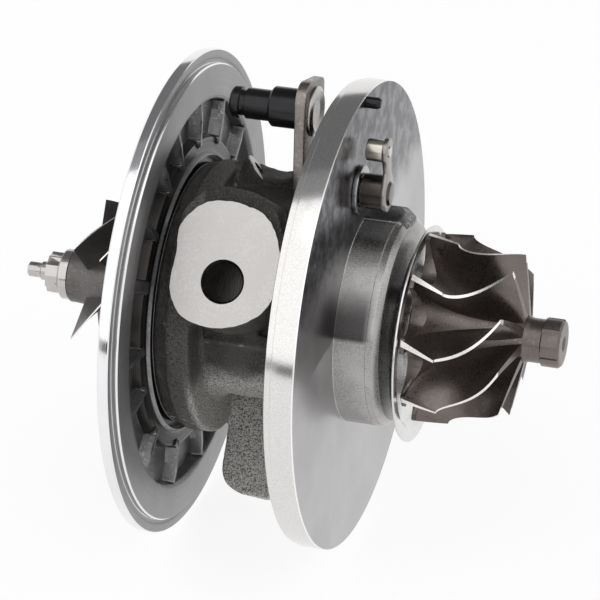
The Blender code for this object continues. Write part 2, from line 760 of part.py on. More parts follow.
def compressor_blades():
    """Full blades, and between them the splitters that start further in."""
    eye_x = COMPRESSOR_NOSE_X + COMPRESSOR_EYE_SETBACK
    rim_x = COMPRESSOR_BACK_X - COMPRESSOR_DISC_RIM
    setback_share = COMPRESSOR_EYE_SETBACK / (rim_x - COMPRESSOR_NOSE_X)
    hub_rise = (COMPRESSOR_RADIUS - COMPRESSOR_NOSE_RADIUS) * math.sqrt(1 - setback_share**2)
    hub_at_eye = COMPRESSOR_RADIUS - hub_rise
    outlet_radius = COMPRESSOR_RADIUS - RIM_STEP
    tip = quarter(
        (eye_x, COMPRESSOR_EYE_RADIUS),
        (rim_x - COMPRESSOR_OUTLET_WIDTH, outlet_radius),
        steps=CURVE_STEPS,
        flat_at_start=True,
    )
    root = quarter(
        (eye_x, hub_at_eye - OVERLAP),
        (rim_x + COMPRESSOR_DISC_RIM / 2, outlet_radius),
        steps=CURVE_STEPS,
        flat_at_start=True,
    )

    def angle_at(chord, span):
        return COMPRESSOR_PHASE - COMPRESSOR_WRAP * (1 - (1 - chord) ** COMPRESSOR_WRAP_POWER)

    def thickness_at(chord, span):
        root_size = COMPRESSOR_BLADE_ROOT_THICKNESS
        return root_size + (COMPRESSOR_BLADE_TIP_THICKNESS - root_size) * span

    def splitter_angle(chord, span):
        return angle_at(chord, span) + math.pi / COMPRESSOR_BLADES

    full = blade("full blade", root, tip, angle_at, thickness_at)
    start = COMPRESSOR_SPLITTER_START
    splitter = blade("splitter", root, tip, splitter_angle, thickness_at, start, chord_steps=6)
    copies = repeated(full, COMPRESSOR_BLADES, "full blade")
    copies += repeated(splitter, COMPRESSOR_BLADES, "splitter")
    return joined("compressor blades", copies)


def rotor_shaft():
    """The one-piece shaft: seal hub, journal, threaded stud and the stub at its end."""
    hub_x = WELD_X - SEAT_GAP
    groove_front = TURBINE_RING_X + RING_GROOVE_WIDTH / 2
    groove_back = TURBINE_RING_X - RING_GROOVE_WIDTH / 2
    groove_radius = SEAL_HUB_RADIUS - RING_GROOVE_DEPTH
    profile = [
        (hub_x, 0.0),
        (hub_x, SEAL_HUB_RADIUS),
        (groove_front, SEAL_HUB_RADIUS),
        (groove_front, groove_radius),
        (groove_back, groove_radius),
        (groove_back, SEAL_HUB_RADIUS),
        (SEAL_HUB_END_X, SEAL_HUB_RADIUS),
        (SEAL_HUB_END_X, JOURNAL_RADIUS),
        (JOURNAL_END_X, JOURNAL_RADIUS),
        (JOURNAL_END_X, STUD_RADIUS),
        (THREAD_END_X + STUD_RADIUS - STUB_RADIUS, STUD_RADIUS),
        (THREAD_END_X, STUB_RADIUS),
        (SHAFT_END_X + SEAT_GAP, STUB_RADIUS),
        (SHAFT_END_X, STUB_RADIUS - SEAT_GAP),
        (SHAFT_END_X, 0.0),
    ]
    return finish(turned("rotor_shaft", profile, BORE_STEPS), STEEL)


def thrust_collar():
    front = JOURNAL_END_X - SEAT_GAP
    back = front - THRUST_COLLAR_THICKNESS
    return finish(ring("thrust_collar", front, back, THRUST_COLLAR_RADIUS, SLEEVE_BORE), STEEL)


def seal_sleeve():
    """The sleeve that carries the compressor seal ring, with the oil flinger on its neck."""
    neck_x = THRUST_BEARING_X
    back = COMPRESSOR_BACK_X + SEAT_GAP
    groove_front = COMPRESSOR_RING_X + RING_GROOVE_WIDTH / 2
    groove_back = COMPRESSOR_RING_X - RING_GROOVE_WIDTH / 2
    groove_radius = SLEEVE_RADIUS - RING_GROOVE_DEPTH
    profile = [
        (neck_x, FLINGER_NECK_RADIUS),
        (FLINGER_X, FLINGER_NECK_RADIUS),
        (FLINGER_X, FLINGER_RADIUS),
        (FLINGER_X - FLINGER_THICKNESS, FLINGER_RADIUS),
        (FLINGER_X - FLINGER_THICKNESS, SLEEVE_RADIUS),
        (groove_front, SLEEVE_RADIUS),
        (groove_front, groove_radius),
        (groove_back, groove_radius),
        (groove_back, SLEEVE_RADIUS),
        (back, SLEEVE_RADIUS),
        (back, SLEEVE_BORE),
        (neck_x, SLEEVE_BORE),
    ]
    return finish(turned("seal_sleeve", profile, BORE_STEPS), STEEL)


def shaft_nut():
    """A flanged nut with twelve lobes."""
    flange_end = NUT_X - NUT_FLANGE_LENGTH
    profile = [
        (NUT_X, 0.0),
        (NUT_X, NUT_FLANGE_RADIUS),
        (flange_end + SEAT_GAP, NUT_FLANGE_RADIUS),
        (flange_end, NUT_FLANGE_RADIUS - SEAT_GAP),
        (flange_end, 0.0),
    ]
    nut = turned("shaft_nut", profile, BORE_STEPS)
    outline = []
    for corner in range(2 * NUT_LOBES):
        radius = NUT_RADIUS if corner % 2 else NUT_RADIUS * NUT_ROOT_SHARE
        turn = math.pi * corner / NUT_LOBES
        outline.append((radius * math.cos(turn), radius * math.sin(turn)))
    low = NUT_END_X
    high = flange_end + OVERLAP
    lobes = extruded("nut lobes", outline, low, high, across())
    bore = rod("nut bore", (NUT_X + OVERLAP, 0, 0), (low - OVERLAP, 0, 0), SLEEVE_BORE)
    boolean(nut, "UNION", [lobes])
    boolean(nut, "DIFFERENCE", [bore])
    return finish(nut, STEEL)


def split_ring(name, x, width, outer, height, split):
    """A ring of rectangular section with a gap at its top."""
    piece = ring(name, x + width / 2, x - width / 2, outer, outer - height)
    low = (x - width, -split / 2, outer - 2 * height)
    high = (x + width, split / 2, outer + height)
    boolean(piece, "DIFFERENCE", [box(name + " gap", low, high)])
    return finish(piece, STEEL)


def seal_rings():
    split_ring(
        "turbine_seal_ring",
        TURBINE_RING_X,
        SEAL_RING_WIDTH,
        SEAL_BORE - RUNNING_CLEARANCE,
        SEAL_RING_HEIGHT,
        SEAL_RING_SPLIT,
    )
    split_ring(
        "compressor_seal_ring",
        COMPRESSOR_RING_X,
        SEAL_RING_WIDTH,
        PLATE_BORE - RUNNING_CLEARANCE,
        SEAL_RING_HEIGHT,
        SEAL_RING_SPLIT,
    )


def circlips():
    outer = BEARING_BORE + CIRCLIP_BITE - SEAT_GAP
    height = 2 * CIRCLIP_BITE - SEAT_GAP
    for name, x in (
        ("circlip_turbine", TURBINE_CIRCLIP_X),
        ("circlip_compressor", COMPRESSOR_CIRCLIP_X),
    ):
        split_ring(name, x, CIRCLIP_WIDTH, outer, height, CIRCLIP_GAP)


def journal_bush(name, x):
    """A floating bush with oil holes through its wall."""
    front = x + BUSH_LENGTH / 2
    back = x - BUSH_LENGTH / 2
    profile = [
        (front, BUSH_RADIUS - SEAT_GAP),
        (front - SEAT_GAP, BUSH_RADIUS),
        (back + SEAT_GAP, BUSH_RADIUS),
        (back, BUSH_RADIUS - SEAT_GAP),
        (back, BUSH_BORE),
        (front, BUSH_BORE),
    ]
    bush = turned(name, profile, BORE_STEPS)
    reach = 2 * BUSH_RADIUS
    drills = []
    for i in range(BUSH_OIL_HOLES):
        angle = 2 * math.pi * (i + 0.5) / BUSH_OIL_HOLES
        end = around(reach, angle, x)
        drills.append(rod(f"{name} drill {i + 1}", (x, 0, 0), end, BUSH_OIL_HOLE_RADIUS, steps=DRILL_STEPS))
    boolean(bush, "DIFFERENCE", drills)
    return finish(bush, BRONZE)


def bearing_spacer():
    front = CAVITY_FRONT_X
    back = CAVITY_BACK_X
    outer = BUSH_BORE + SPACER_WALL
    return finish(ring("bearing_spacer", front, back, outer, BUSH_BORE), STEEL)


def thrust_bearing():
    """The fixed thrust plate, open towards the drain."""
    front = THRUST_BEARING_X
    back = front - THRUST_BEARING_THICKNESS
    outer = THRUST_RECESS_RADIUS - SEAT_GAP
    piece = ring("thrust_bearing", front, back, outer, FLINGER_NECK_RADIUS + SEAT_GAP)
    low = (back - OVERLAP, -THRUST_NOTCH_WIDTH / 2, THRUST_COLLAR_RADIUS)
    high = (front + OVERLAP, THRUST_NOTCH_WIDTH / 2, outer + OVERLAP)
    turn = Matrix.Rotation(OIL_ANGLE + math.pi / 2, 4, "X")
    notch = box("thrust notch", low, high, turn)
    grooves = []
    for i in range(THRUST_PADS):
        spin = Matrix.Rotation(2 * math.pi * i / THRUST_PADS + OIL_ANGLE, 4, "X")
        low = (front - THRUST_GROOVE_DEPTH, -THRUST_GROOVE_WIDTH / 2, FLINGER_NECK_RADIUS - OVERLAP)
        high = (front + OVERLAP, THRUST_GROOVE_WIDTH / 2, THRUST_COLLAR_RADIUS - SEAT_GAP)
        grooves.append(box(f"thrust groove {i + 1}", low, high, spin))
    boolean(piece, "DIFFERENCE", [notch, *grooves])
    return finish(piece, BRONZE)


def oil_deflector():
    """A thin disc against the spigot, with a lip over the flinger."""
    back = SPIGOT_X + SEAT_GAP
    front = back + DEFLECTOR_THICKNESS
    outer = THRUST_RECESS_RADIUS - SEAT_GAP
    lip_inner = FLINGER_RADIUS + 2 * SEAT_GAP
    profile = [
        (front + DEFLECTOR_LIP, lip_inner + DEFLECTOR_THICKNESS),
        (front, lip_inner + DEFLECTOR_THICKNESS),
        (front, outer),
        (back, outer),
        (back, SLEEVE_RADIUS + 2 * SEAT_GAP),
        (front, SLEEVE_RADIUS + 2 * SEAT_GAP),
        (front, lip_inner),
        (front + DEFLECTOR_LIP, lip_inner),
    ]
    return finish(turned("oil_deflector", profile, BORE_STEPS), STEEL)


def bearing_housing():
    """The cast body with its turbine flange, nose, oil pad and drain boss."""
    housing = turned("bearing_housing", housing_profile(), DISC_STEPS)
    boolean(
        housing,
        "UNION",
        [core_body(), oil_pad(), pad_ledge(), pad_rib(), drain_boss(), lug_boss(), saddle(), nose_key()],
    )
    boolean(housing, "DIFFERENCE", [housing_bores(), *oil_drillings(), *flange_cuts()])
    return finish(housing, CAST_IRON)


def housing_profile():
    step_x = -FLANGE_THICKNESS + FLANGE_STEP_WIDTH
    step_radius = FLANGE_RADIUS - FLANGE_STEP_DEPTH
    nose_step_radius = NOSE_RADIUS - NOSE_STEP_DEPTH
    return [
        (BOSS_END_X, 0.0),
        (BOSS_END_X, SEAL_BOSS_RADIUS - SEAT_GAP),
        (BOSS_END_X - SEAT_GAP, SEAL_BOSS_RADIUS),
        (NOSE_LENGTH, SEAL_BOSS_RADIUS),
        (NOSE_LENGTH, NOSE_FACE_RADIUS),
        (NOSE_LENGTH - (nose_step_radius - NOSE_FACE_RADIUS), nose_step_radius),
        (NOSE_BAND, nose_step_radius),
        (NOSE_BAND, NOSE_RADIUS - SEAT_GAP),
        (NOSE_BAND - SEAT_GAP, NOSE_RADIUS),
        (0.0, NOSE_RADIUS),
        (0.0, FLANGE_RADIUS - SEAT_GAP),
        (-SEAT_GAP, FLANGE_RADIUS),
        (step_x, FLANGE_RADIUS),
        (step_x, step_radius),
        (-FLANGE_THICKNESS, step_radius),
        (-FLANGE_THICKNESS, NECK_RADIUS),
        (COMPRESSOR_FLANGE_X, NECK_RADIUS),
        (COMPRESSOR_FLANGE_X, COMPRESSOR_FLANGE_RADIUS - SEAT_GAP),
        (COMPRESSOR_FLANGE_X - SEAT_GAP, COMPRESSOR_FLANGE_RADIUS),
        (SEAT_X + SEAT_HEIGHT, COMPRESSOR_FLANGE_RADIUS),
        (SEAT_X + SEAT_HEIGHT, SEAT_RADIUS),
        (SEAT_X, SEAT_RADIUS),
        (SEAT_X, 0.0),
    ]


def core_body():
    """The cast core between the flanges, a little off centre, with a fillet at each end."""
    front = FILLET_SINK - FLANGE_THICKNESS
    back = COMPRESSOR_FLANGE_X - FILLET_SINK
    profile = [(front + OVERLAP, 0.0), (front + OVERLAP, CORE_RADIUS + CORE_FILLET)]
    for step in range(CORE_FILLET_STEPS + 1):
        turn = math.pi / 2 * step / CORE_FILLET_STEPS
        x = front - CORE_FILLET * (1 - math.cos(turn))
        profile.append((x, CORE_RADIUS + CORE_FILLET * (1 - math.sin(turn))))
    for step in range(CORE_FILLET_STEPS + 1):
        turn = math.pi / 2 * (1 - step / CORE_FILLET_STEPS)
        x = back + CORE_BACK_FILLET * (1 - math.cos(turn))
        profile.append((x, CORE_RADIUS + CORE_BACK_FILLET * (1 - math.sin(turn))))
    profile.append((back - OVERLAP, CORE_RADIUS + CORE_BACK_FILLET))
    profile.append((back - OVERLAP, 0.0))
    rise = outward(OIL_ANGLE) @ Vector((0.0, CORE_RISE, 0.0))
    return turned("core", profile, BODY_STEPS, helper=True, centre=(rise.y, rise.z))


def oil_pad():
    """The flat-topped pad round the oil inlet."""
    frame = outward(OIL_ANGLE, OIL_PORT_X)
    return extruded("oil pad", OIL_PAD_OUTLINE, OIL_PAD_ROOT, OIL_PAD_HEIGHT, frame, smooth=True)


def pad_ledge():
    """The unmilled ledge that shows above the pad's milled face."""
    outline = [(x * PAD_LEDGE_SIZE, y * PAD_LEDGE_SIZE + PAD_LEDGE_RISE) for x, y in OIL_PAD_OUTLINE]
    height = OIL_PAD_HEIGHT - PAD_LEDGE_DROP
    frame = outward(OIL_ANGLE, OIL_PORT_X)
    return extruded("pad ledge", outline, OIL_PAD_ROOT + OVERLAP, height, frame, smooth=True)


def pad_rib():
    """The rib under the pad, from the turbine flange towards the compressor flange."""
    low = (PAD_RIB_END_X, -PAD_RIB_DROP - PAD_RIB_WIDTH / 2, 0.0)
    high = (OVERLAP - FLANGE_THICKNESS, -PAD_RIB_DROP + PAD_RIB_WIDTH / 2, PAD_RIB_HEIGHT)
    return box("pad rib", low, high, outward(OIL_ANGLE))


def drain_boss():
    """The block that carries the drain face, opposite the inlet."""
    right = OVERLAP - FLANGE_THICKNESS
    corners = [
        (DRAIN_LEFT, -DRAIN_LOW, DRAIN_CORNER),
        (right, -DRAIN_LOW, 0.0),
        (right, -DRAIN_HIGH, 0.0),
        (DRAIN_LEFT, -DRAIN_HIGH, DRAIN_CORNER),
    ]
    frame = outward(OIL_ANGLE)
    return extruded("drain boss", rounded(corners), -DRAIN_HEIGHT, -DRAIN_ROOT, frame)


def lug_frame():
    """The frame of the lug's port, whose Z leaves the port."""
    face = outward(OIL_ANGLE) @ Vector((LUG_FACE_X, -LUG_FACE_DROP, LUG_FACE_NEAR))
    out = outward(OIL_ANGLE).to_3x3() @ Vector((math.cos(LUG_TILT), math.sin(LUG_TILT), 0.0))
    return face, out


def lug_boss():
    """The cast lug for a cooling port, beside the compressor flange."""
    face, out = lug_frame()
    return rod("lug", face - out * LUG_LENGTH, face, LUG_RADIUS)


def upright():
    """The frame whose Z points along -Y, with X along the shaft and Y up."""
    return Matrix.Rotation(math.pi / 2, 4, "X")


def saddle():
    """The cast web that dips between the lug and the turbine flange."""
    outline = [(SADDLE_TOP[-1][0], SADDLE_LOW), *SADDLE_TOP[::-1], (SADDLE_TOP[0][0], SADDLE_LOW)]
    return extruded("saddle", outline, -SADDLE_FAR, -SADDLE_NEAR, upright())


def nose_key():
    """The flat-topped key on the nose, with a sloping front, above the seal."""
    end = NOSE_LENGTH - SEAT_GAP
    outline = [
        (-OVERLAP, KEY_TOP - KEY_DEPTH),
        (end, KEY_TOP - KEY_DEPTH),
        (end, KEY_TOP - KEY_SLOPE),
        (KEY_END_X, KEY_TOP),
        (-OVERLAP, KEY_TOP),
    ]
    return extruded("nose key", outline, -KEY_Y - KEY_WIDTH / 2, -KEY_Y + KEY_WIDTH / 2, upright())


def housing_bores():
    """Every turned surface inside the housing, as one cutter."""
    slinger_front = SEAL_HUB_END_X + SLINGER_POCKET_LENGTH / 2
    slinger_back = SEAL_HUB_END_X - SLINGER_POCKET_LENGTH / 2
    groove = BEARING_BORE + CIRCLIP_BITE
    half = CIRCLIP_WIDTH / 2 + SEAT_GAP
    collar_radius = THRUST_COLLAR_RADIUS + 2 * SEAT_GAP
    profile = [
        (BOSS_END_X + OVERLAP, 0.0),
        (BOSS_END_X + OVERLAP, SEAL_BORE),
        (slinger_front, SEAL_BORE),
        (slinger_front, SLINGER_POCKET_RADIUS),
        (slinger_back, SLINGER_POCKET_RADIUS),
        (slinger_back, BEARING_BORE),
        (TURBINE_CIRCLIP_X + half, BEARING_BORE),
        (TURBINE_CIRCLIP_X + half, groove),
        (TURBINE_CIRCLIP_X - half, groove),
        (TURBINE_CIRCLIP_X - half, BEARING_BORE),
        (CAVITY_FRONT_X, BEARING_BORE),
        (CAVITY_FRONT_X, CAVITY_RADIUS),
        (CAVITY_BACK_X, CAVITY_RADIUS),
        (CAVITY_BACK_X, BEARING_BORE),
        (COMPRESSOR_CIRCLIP_X + half, BEARING_BORE),
        (COMPRESSOR_CIRCLIP_X + half, groove),
        (COMPRESSOR_CIRCLIP_X - half, groove),
        (COMPRESSOR_CIRCLIP_X - half, BEARING_BORE),
        (JOURNAL_END_X, BEARING_BORE),
        (JOURNAL_END_X, collar_radius),
        (THRUST_FLOOR_X, collar_radius),
        (THRUST_FLOOR_X, THRUST_RECESS_RADIUS),
        (SEAT_X - OVERLAP, THRUST_RECESS_RADIUS),
        (SEAT_X - OVERLAP, 0.0),
    ]
    return turned("housing bores", profile, BORE_STEPS, helper=True)


def oil_drillings():
    """The oil inlet, its galleries to both bushes, the drain and the passages that feed it."""
    frame = outward(OIL_ANGLE)

    def drill(name, start, end, radius, end_radius=None, steps=DRILL_STEPS):
        return rod(name, frame @ Vector(start), frame @ Vector(end), radius, end_radius, steps)

    port_x = OIL_PORT_X
    floor = OIL_PAD_HEIGHT - OIL_PORT_DEPTH
    gallery = GALLERY_HEIGHT
    top = OIL_PAD_HEIGHT + OIL_PORT_CHAMFER
    wide = OIL_PORT_RADIUS + 2 * OIL_PORT_CHAMFER
    narrow = OIL_PORT_RADIUS - OIL_PORT_CHAMFER / 2
    chamfer_end = OIL_PAD_HEIGHT - OIL_PORT_CHAMFER - OIL_PORT_CHAMFER / 2
    drain_y = -(DRAIN_LOW + DRAIN_HIGH) / 2
    face = -DRAIN_HEIGHT - OVERLAP
    cuts = [
        drill("inlet", (port_x, 0, floor), (port_x, 0, top), OIL_PORT_RADIUS, steps=BORE_STEPS),
        drill("inlet chamfer", (port_x, 0, chamfer_end), (port_x, 0, top), narrow, wide, BORE_STEPS),
        drill("inlet gallery", (port_x, 0, 0), (port_x, 0, floor + OVERLAP), OIL_GALLERY_RADIUS),
        drill("long gallery", (port_x, 0, gallery), (TURBINE_BUSH_X, 0, gallery), OIL_GALLERY_RADIUS),
        drill(
            "turbine gallery",
            (TURBINE_BUSH_X, 0, 0),
            (TURBINE_BUSH_X, 0, gallery),
            OIL_GALLERY_RADIUS,
        ),
        drill(
            "drain",
            (DRAIN_PORT_X, drain_y, face),
            (DRAIN_PORT_X, drain_y, -DRAIN_PORT_END),
            DRAIN_PORT_RADIUS,
            steps=BORE_STEPS,
        ),
        drill(
            "thrust drain",
            (THRUST_FLOOR_X - OVERLAP, drain_y, -THRUST_DRAIN_FALL),
            (DRAIN_PORT_X, drain_y, -THRUST_DRAIN_FALL),
            THRUST_DRAIN_RADIUS,
        ),
        drill(
            "slinger drain",
            (SEAL_HUB_END_X, -SLINGER_POCKET_RADIUS, 0.0),
            (CAVITY_FRONT_X - OVERLAP, -SLINGER_POCKET_RADIUS, 0.0),
            SLINGER_DRAIN_RADIUS,
        ),
    ]
    for side in (-1, 1):
        y = drain_y + side * DRAIN_BOLT_SPACING / 2
        end = DRAIN_BOLT_DEPTH - DRAIN_HEIGHT
        low = (DRAIN_PORT_X, y, face)
        high = (DRAIN_PORT_X, y, end)
        cuts.append(drill(f"drain bolt {side}", low, high, DRAIN_BOLT_RADIUS))
    lug_face, lug_out = lug_frame()
    bottom = lug_face - lug_out * LUG_PORT_DEPTH
    mouth = lug_face + lug_out * OVERLAP
    cuts.append(rod("lug port", bottom, mouth, LUG_PORT_RADIUS, steps=SMALL_STEPS))
    return cuts


def flange_cuts():
    """The lever's bush hole and relief, the dowel hole and the tapped holes for the backplate."""
    pivot = Vector((0.0, PIVOT_Y, PIVOT_Z))
    along = Vector((1.0, 0.0, 0.0))
    relief_start = LEVER_SPOT_FACE - FLANGE_THICKNESS
    relief_end = LEVER_X - LEVER_THICKNESS - LEVER_RELIEF
    hole_end = relief_start - OVERLAP
    relief_radius = LEVER_HALF_WIDTH + LEVER_RELIEF
    bush_hole = LEVER_BUSH_RADIUS + SEAT_GAP
    dowel = around(DOWEL_CIRCLE, DOWEL_ANGLE)
    dowel_hole = DOWEL_RADIUS + SEAT_GAP
    cuts = [
        rod("lever hole", pivot + along * hole_end, pivot + along * OVERLAP, bush_hole),
        rod("lever relief", pivot + along * relief_end, pivot + along * relief_start, relief_radius),
        rod("dowel hole", dowel - along * DOWEL_DEPTH, dowel + along * OVERLAP, dowel_hole),
    ]
    for i in range(BOLT_COUNT):
        centre = bolt_centre(i)
        start = centre + along * (SEAT_X - OVERLAP)
        end = centre + along * (BOLT_HEAD_X + BOLT_LENGTH + SEAT_GAP)
        cuts.append(rod(f"tapped hole {i + 1}", start, end, BOLT_RADIUS + SEAT_GAP, steps=SMALL_STEPS))
    return cuts


def heat_shield():
    """The dished shield behind the turbine wheel. It hangs by its bore."""
    front = SHIELD_FRONT_X
    floor = front - SHIELD_DISH
    slant = SHIELD_DISH_RADIUS + SHIELD_DISH
    shift = SHIELD_SLANT_SHIFT
    profile = [
        (front, SHIELD_RADIUS),
        (front - SHIELD_THICKNESS, SHIELD_RADIUS),
        (front - SHIELD_THICKNESS, slant + shift),
        (floor - SHIELD_THICKNESS, SHIELD_DISH_RADIUS + shift),
        (floor - SHIELD_THICKNESS, SHIELD_BORE),
        (floor, SHIELD_BORE),
        (floor, SHIELD_DISH_RADIUS),
        (front, slant),
    ]
    shield = turned("heat_shield", profile, BODY_STEPS, centre=(0.0, -SHIELD_SAG))
    return finish(shield, CAST_ALLOY)


def bolt_centre(i):
    return around(BOLT_CIRCLE, OIL_ANGLE + 2 * math.pi * (i + 0.5) / BOLT_COUNT)


def compressor_backplate():
    """The turned backplate, with its pockets, ribs, bolt seats and seal grooves."""
    floor_x = PLATE_FACE_X - POCKET_DEPTH
    groove_depth = 2 * O_RING_CORD + SEAT_GAP
    groove_half = O_RING_CORD + SEAT_GAP
    profile = [
        (SPIGOT_X, SPIGOT_RADIUS),
        (PLATE_FACE_X, SPIGOT_RADIUS),
        (PLATE_FACE_X, O_RING_CIRCLE - groove_half),
        (PLATE_FACE_X - groove_depth, O_RING_CIRCLE - groove_half),
        (PLATE_FACE_X - groove_depth, O_RING_CIRCLE + groove_half),
        (PLATE_FACE_X, O_RING_CIRCLE + groove_half),
        (PLATE_FACE_X, INNER_LAND_START),
        (PLATE_FACE_X - INNER_LAND_DROP, INNER_LAND_START),
        (PLATE_FACE_X - INNER_LAND_DROP, POCKET_INNER_RADIUS),
        (floor_x, POCKET_INNER_RADIUS + POCKET_DRAFT),
        (floor_x, POCKET_OUTER_RADIUS - POCKET_DRAFT),
        (PLATE_FACE_X, POCKET_OUTER_RADIUS),
        (PLATE_FACE_X, SHOULDER_RADIUS),
        (RIM_FRONT_X, SHOULDER_RADIUS),
        (RIM_FRONT_X, PLATE_RADIUS),
        (RIM_BACK_X, PLATE_RADIUS),
        (RIM_BACK_X, WHEEL_RECESS_RADIUS),
        (RIM_BACK_X + WHEEL_RECESS_DEPTH, WHEEL_RECESS_RADIUS),
        (RIM_BACK_X + WHEEL_RECESS_DEPTH, PLATE_BORE),
        (SPIGOT_X, PLATE_BORE),
    ]
    plate = turned("compressor_backplate", profile, DISC_STEPS)
    boolean(plate, "UNION", [plate_ribs(floor_x)])
    boolean(plate, "DIFFERENCE", bolt_seats())
    return finish(plate, MACHINED_ALUMINIUM)


def plate_ribs(floor_x):
    """Radial ribs across the ring of pockets, each with a narrower top."""
    top = PLATE_FACE_X - RIB_DROP
    low = POCKET_INNER_RADIUS - RIB_OVERHANG
    high = POCKET_OUTER_RADIUS + OVERLAP
    ribs = []
    sizes = [(degrees, RIB_THICKNESS) for degrees in RIB_DEGREES]
    sizes.append((WIDE_RIB_DEGREES, WIDE_RIB_THICKNESS))
    for degrees, thickness in sizes:
        half = thickness / 2
        outline = [
            (floor_x - RIB_ROOT, -half),
            (top, -half * RIB_TOP_SHARE),
            (top, half * RIB_TOP_SHARE),
            (floor_x - RIB_ROOT, half),
        ]
        ribs.append(extruded(f"rib {degrees}", outline, low, high, outward(math.radians(degrees))))
    return joined("ribs", ribs)


def bolt_seats():
    along = Vector((1.0, 0.0, 0.0))
    cuts = []
    for i in range(BOLT_COUNT):
        centre = bolt_centre(i)
        back = centre + along * (RIM_BACK_X - OVERLAP)
        floor = centre + along * (RIM_BACK_X + BOLT_SEAT_DEPTH)
        front = centre + along * (PLATE_FACE_X + OVERLAP)
        cuts.append(rod(f"bolt seat {i + 1}", back, floor, BOLT_HEAD_RADIUS + SEAT_GAP, steps=SMALL_STEPS))
        cuts.append(rod(f"bolt hole {i + 1}", back, front, BOLT_RADIUS + SEAT_GAP, steps=SMALL_STEPS))
    return cuts


def backplate_bolts():
    for i in range(BOLT_COUNT):
        centre = bolt_centre(i)
        tip = BOLT_HEAD_X + BOLT_LENGTH
        back = BOLT_HEAD_X - BOLT_HEAD_HEIGHT
        profile = [
            (tip, 0.0),
            (tip, BOLT_RADIUS - SEAT_GAP),
            (tip - SEAT_GAP, BOLT_RADIUS),
            (BOLT_HEAD_X, BOLT_RADIUS),
            (BOLT_HEAD_X, BOLT_HEAD_RADIUS),
            (back, BOLT_HEAD_RADIUS),
            (back, 0.0),
        ]
        bolt = turned(f"backplate_bolt_{i + 1}", profile, SMALL_STEPS, centre=(centre.y, centre.z))
        start = centre + Vector((back - OVERLAP, 0.0, 0.0))
        end = centre + Vector((back + BOLT_SOCKET_DEPTH, 0.0, 0.0))
        boolean(bolt, "DIFFERENCE", [rod(f"socket {i + 1}", start, end, BOLT_SOCKET_RADIUS, steps=6)])
        finish(bolt, STEEL)


def backplate_o_ring():
    """The seal cord in its groove, between the housing and the backplate."""
    centre_x = PLATE_FACE_X - O_RING_CORD
    profile = []
    for step in range(O_RING_SIDES):
        turn = 2 * math.pi * (step + 0.5) / O_RING_SIDES
        x = centre_x + O_RING_CORD * math.cos(turn)
        profile.append((x, O_RING_CIRCLE + O_RING_CORD * math.sin(turn)))
    return finish(turned("backplate_o_ring", profile, BODY_STEPS), RUBBER)


def lever_bush():
    """The bush that carries the lever shaft through the turbine flange."""
    front = SEAT_GAP + LEVER_BUSH_COLLAR_THICKNESS
    profile = [
        (front, LEVER_BUSH_COLLAR_RADIUS),
        (SEAT_GAP, LEVER_BUSH_COLLAR_RADIUS),
        (SEAT_GAP, LEVER_BUSH_RADIUS),
        (-FLANGE_THICKNESS - LEVER_BUSH_PROUD, LEVER_BUSH_RADIUS),
        (-FLANGE_THICKNESS - LEVER_BUSH_PROUD, LEVER_BUSH_BORE),
        (front, LEVER_BUSH_BORE),
    ]
    return finish(turned("lever_bush", profile, BORE_STEPS, centre=(PIVOT_Y, PIVOT_Z)), STEEL)


def locating_dowel():
    centre = around(DOWEL_CIRCLE, DOWEL_ANGLE)
    back = SEAT_GAP - DOWEL_DEPTH
    profile = [
        (DOWEL_PROUD, 0.0),
        (DOWEL_PROUD, DOWEL_RADIUS - 2 * SEAT_GAP),
        (DOWEL_PROUD - 2 * SEAT_GAP, DOWEL_RADIUS),
        (back, DOWEL_RADIUS),
        (back, 0.0),
    ]
    return finish(turned("locating_dowel", profile, SMALL_STEPS, centre=(centre.y, centre.z)), STEEL)


def across(turn=0.0):
    """The frame whose Z runs along the shaft, with X towards +Y and Y up before it is turned."""
    axes = Matrix(((0, 0, 1), (1, 0, 0), (0, 1, 0))).to_4x4()
    return axes @ Matrix.Rotation(turn, 4, "Z")


def lever_shaft():
    front = CRANK_FRONT_X + LEVER_SHAFT_PROUD
    back = LEVER_X - LEVER_THICKNESS - LEVER_SHAFT_PROUD
    profile = [
        (front, 0.0),
        (front, LEVER_SHAFT_RADIUS - SEAT_GAP),
        (front - SEAT_GAP, LEVER_SHAFT_RADIUS),
        (back + SEAT_GAP, LEVER_SHAFT_RADIUS),
        (back, LEVER_SHAFT_RADIUS - SEAT_GAP),
        (back, 0.0),
    ]
    return finish(turned("lever_shaft", profile, BORE_STEPS, parent=LEVER_AXIS), STEEL)


def actuator_lever():
    """The flat lever behind the flange, from its pivot up to the actuator's pin."""
    half = LEVER_HALF_WIDTH
    corners = [
        (-half, 0.0, 0.0),
        (-half, LEVER_TOP, LEVER_NEAR_CORNER),
        (half, LEVER_TOP - LEVER_TOP_FALL, LEVER_FAR_CORNER),
        (half, 0.0, 0.0),
    ]
    outline = rounded(corners)
    for step in range(1, LEVER_ROUND_STEPS):
        turn = -math.pi * step / LEVER_ROUND_STEPS
        outline.append((half * math.cos(turn), half * math.sin(turn)))
    back = LEVER_X - LEVER_THICKNESS
    frame = across(LEVER_LEAN)
    lever = extruded("actuator_lever", outline, back, LEVER_X, frame, helper=False, parent=LEVER_AXIS)
    pin = frame @ Vector((0.0, LEVER_PIN_REACH, 0.0))
    holes = []
    for name, centre, radius in (
        ("lever shaft hole", Vector(), LEVER_SHAFT_RADIUS + SEAT_GAP),
        ("lever pin hole", pin, PIN_SHANK_RADIUS + SEAT_GAP),
    ):
        start = centre + Vector((back - OVERLAP, 0.0, 0.0))
        end = centre + Vector((LEVER_X + OVERLAP, 0.0, 0.0))
        holes.append(rod(name, start, end, radius, steps=SMALL_STEPS, parent=LEVER_AXIS))
    boolean(lever, "DIFFERENCE", holes)
    return finish(lever, CAST_ALLOY)


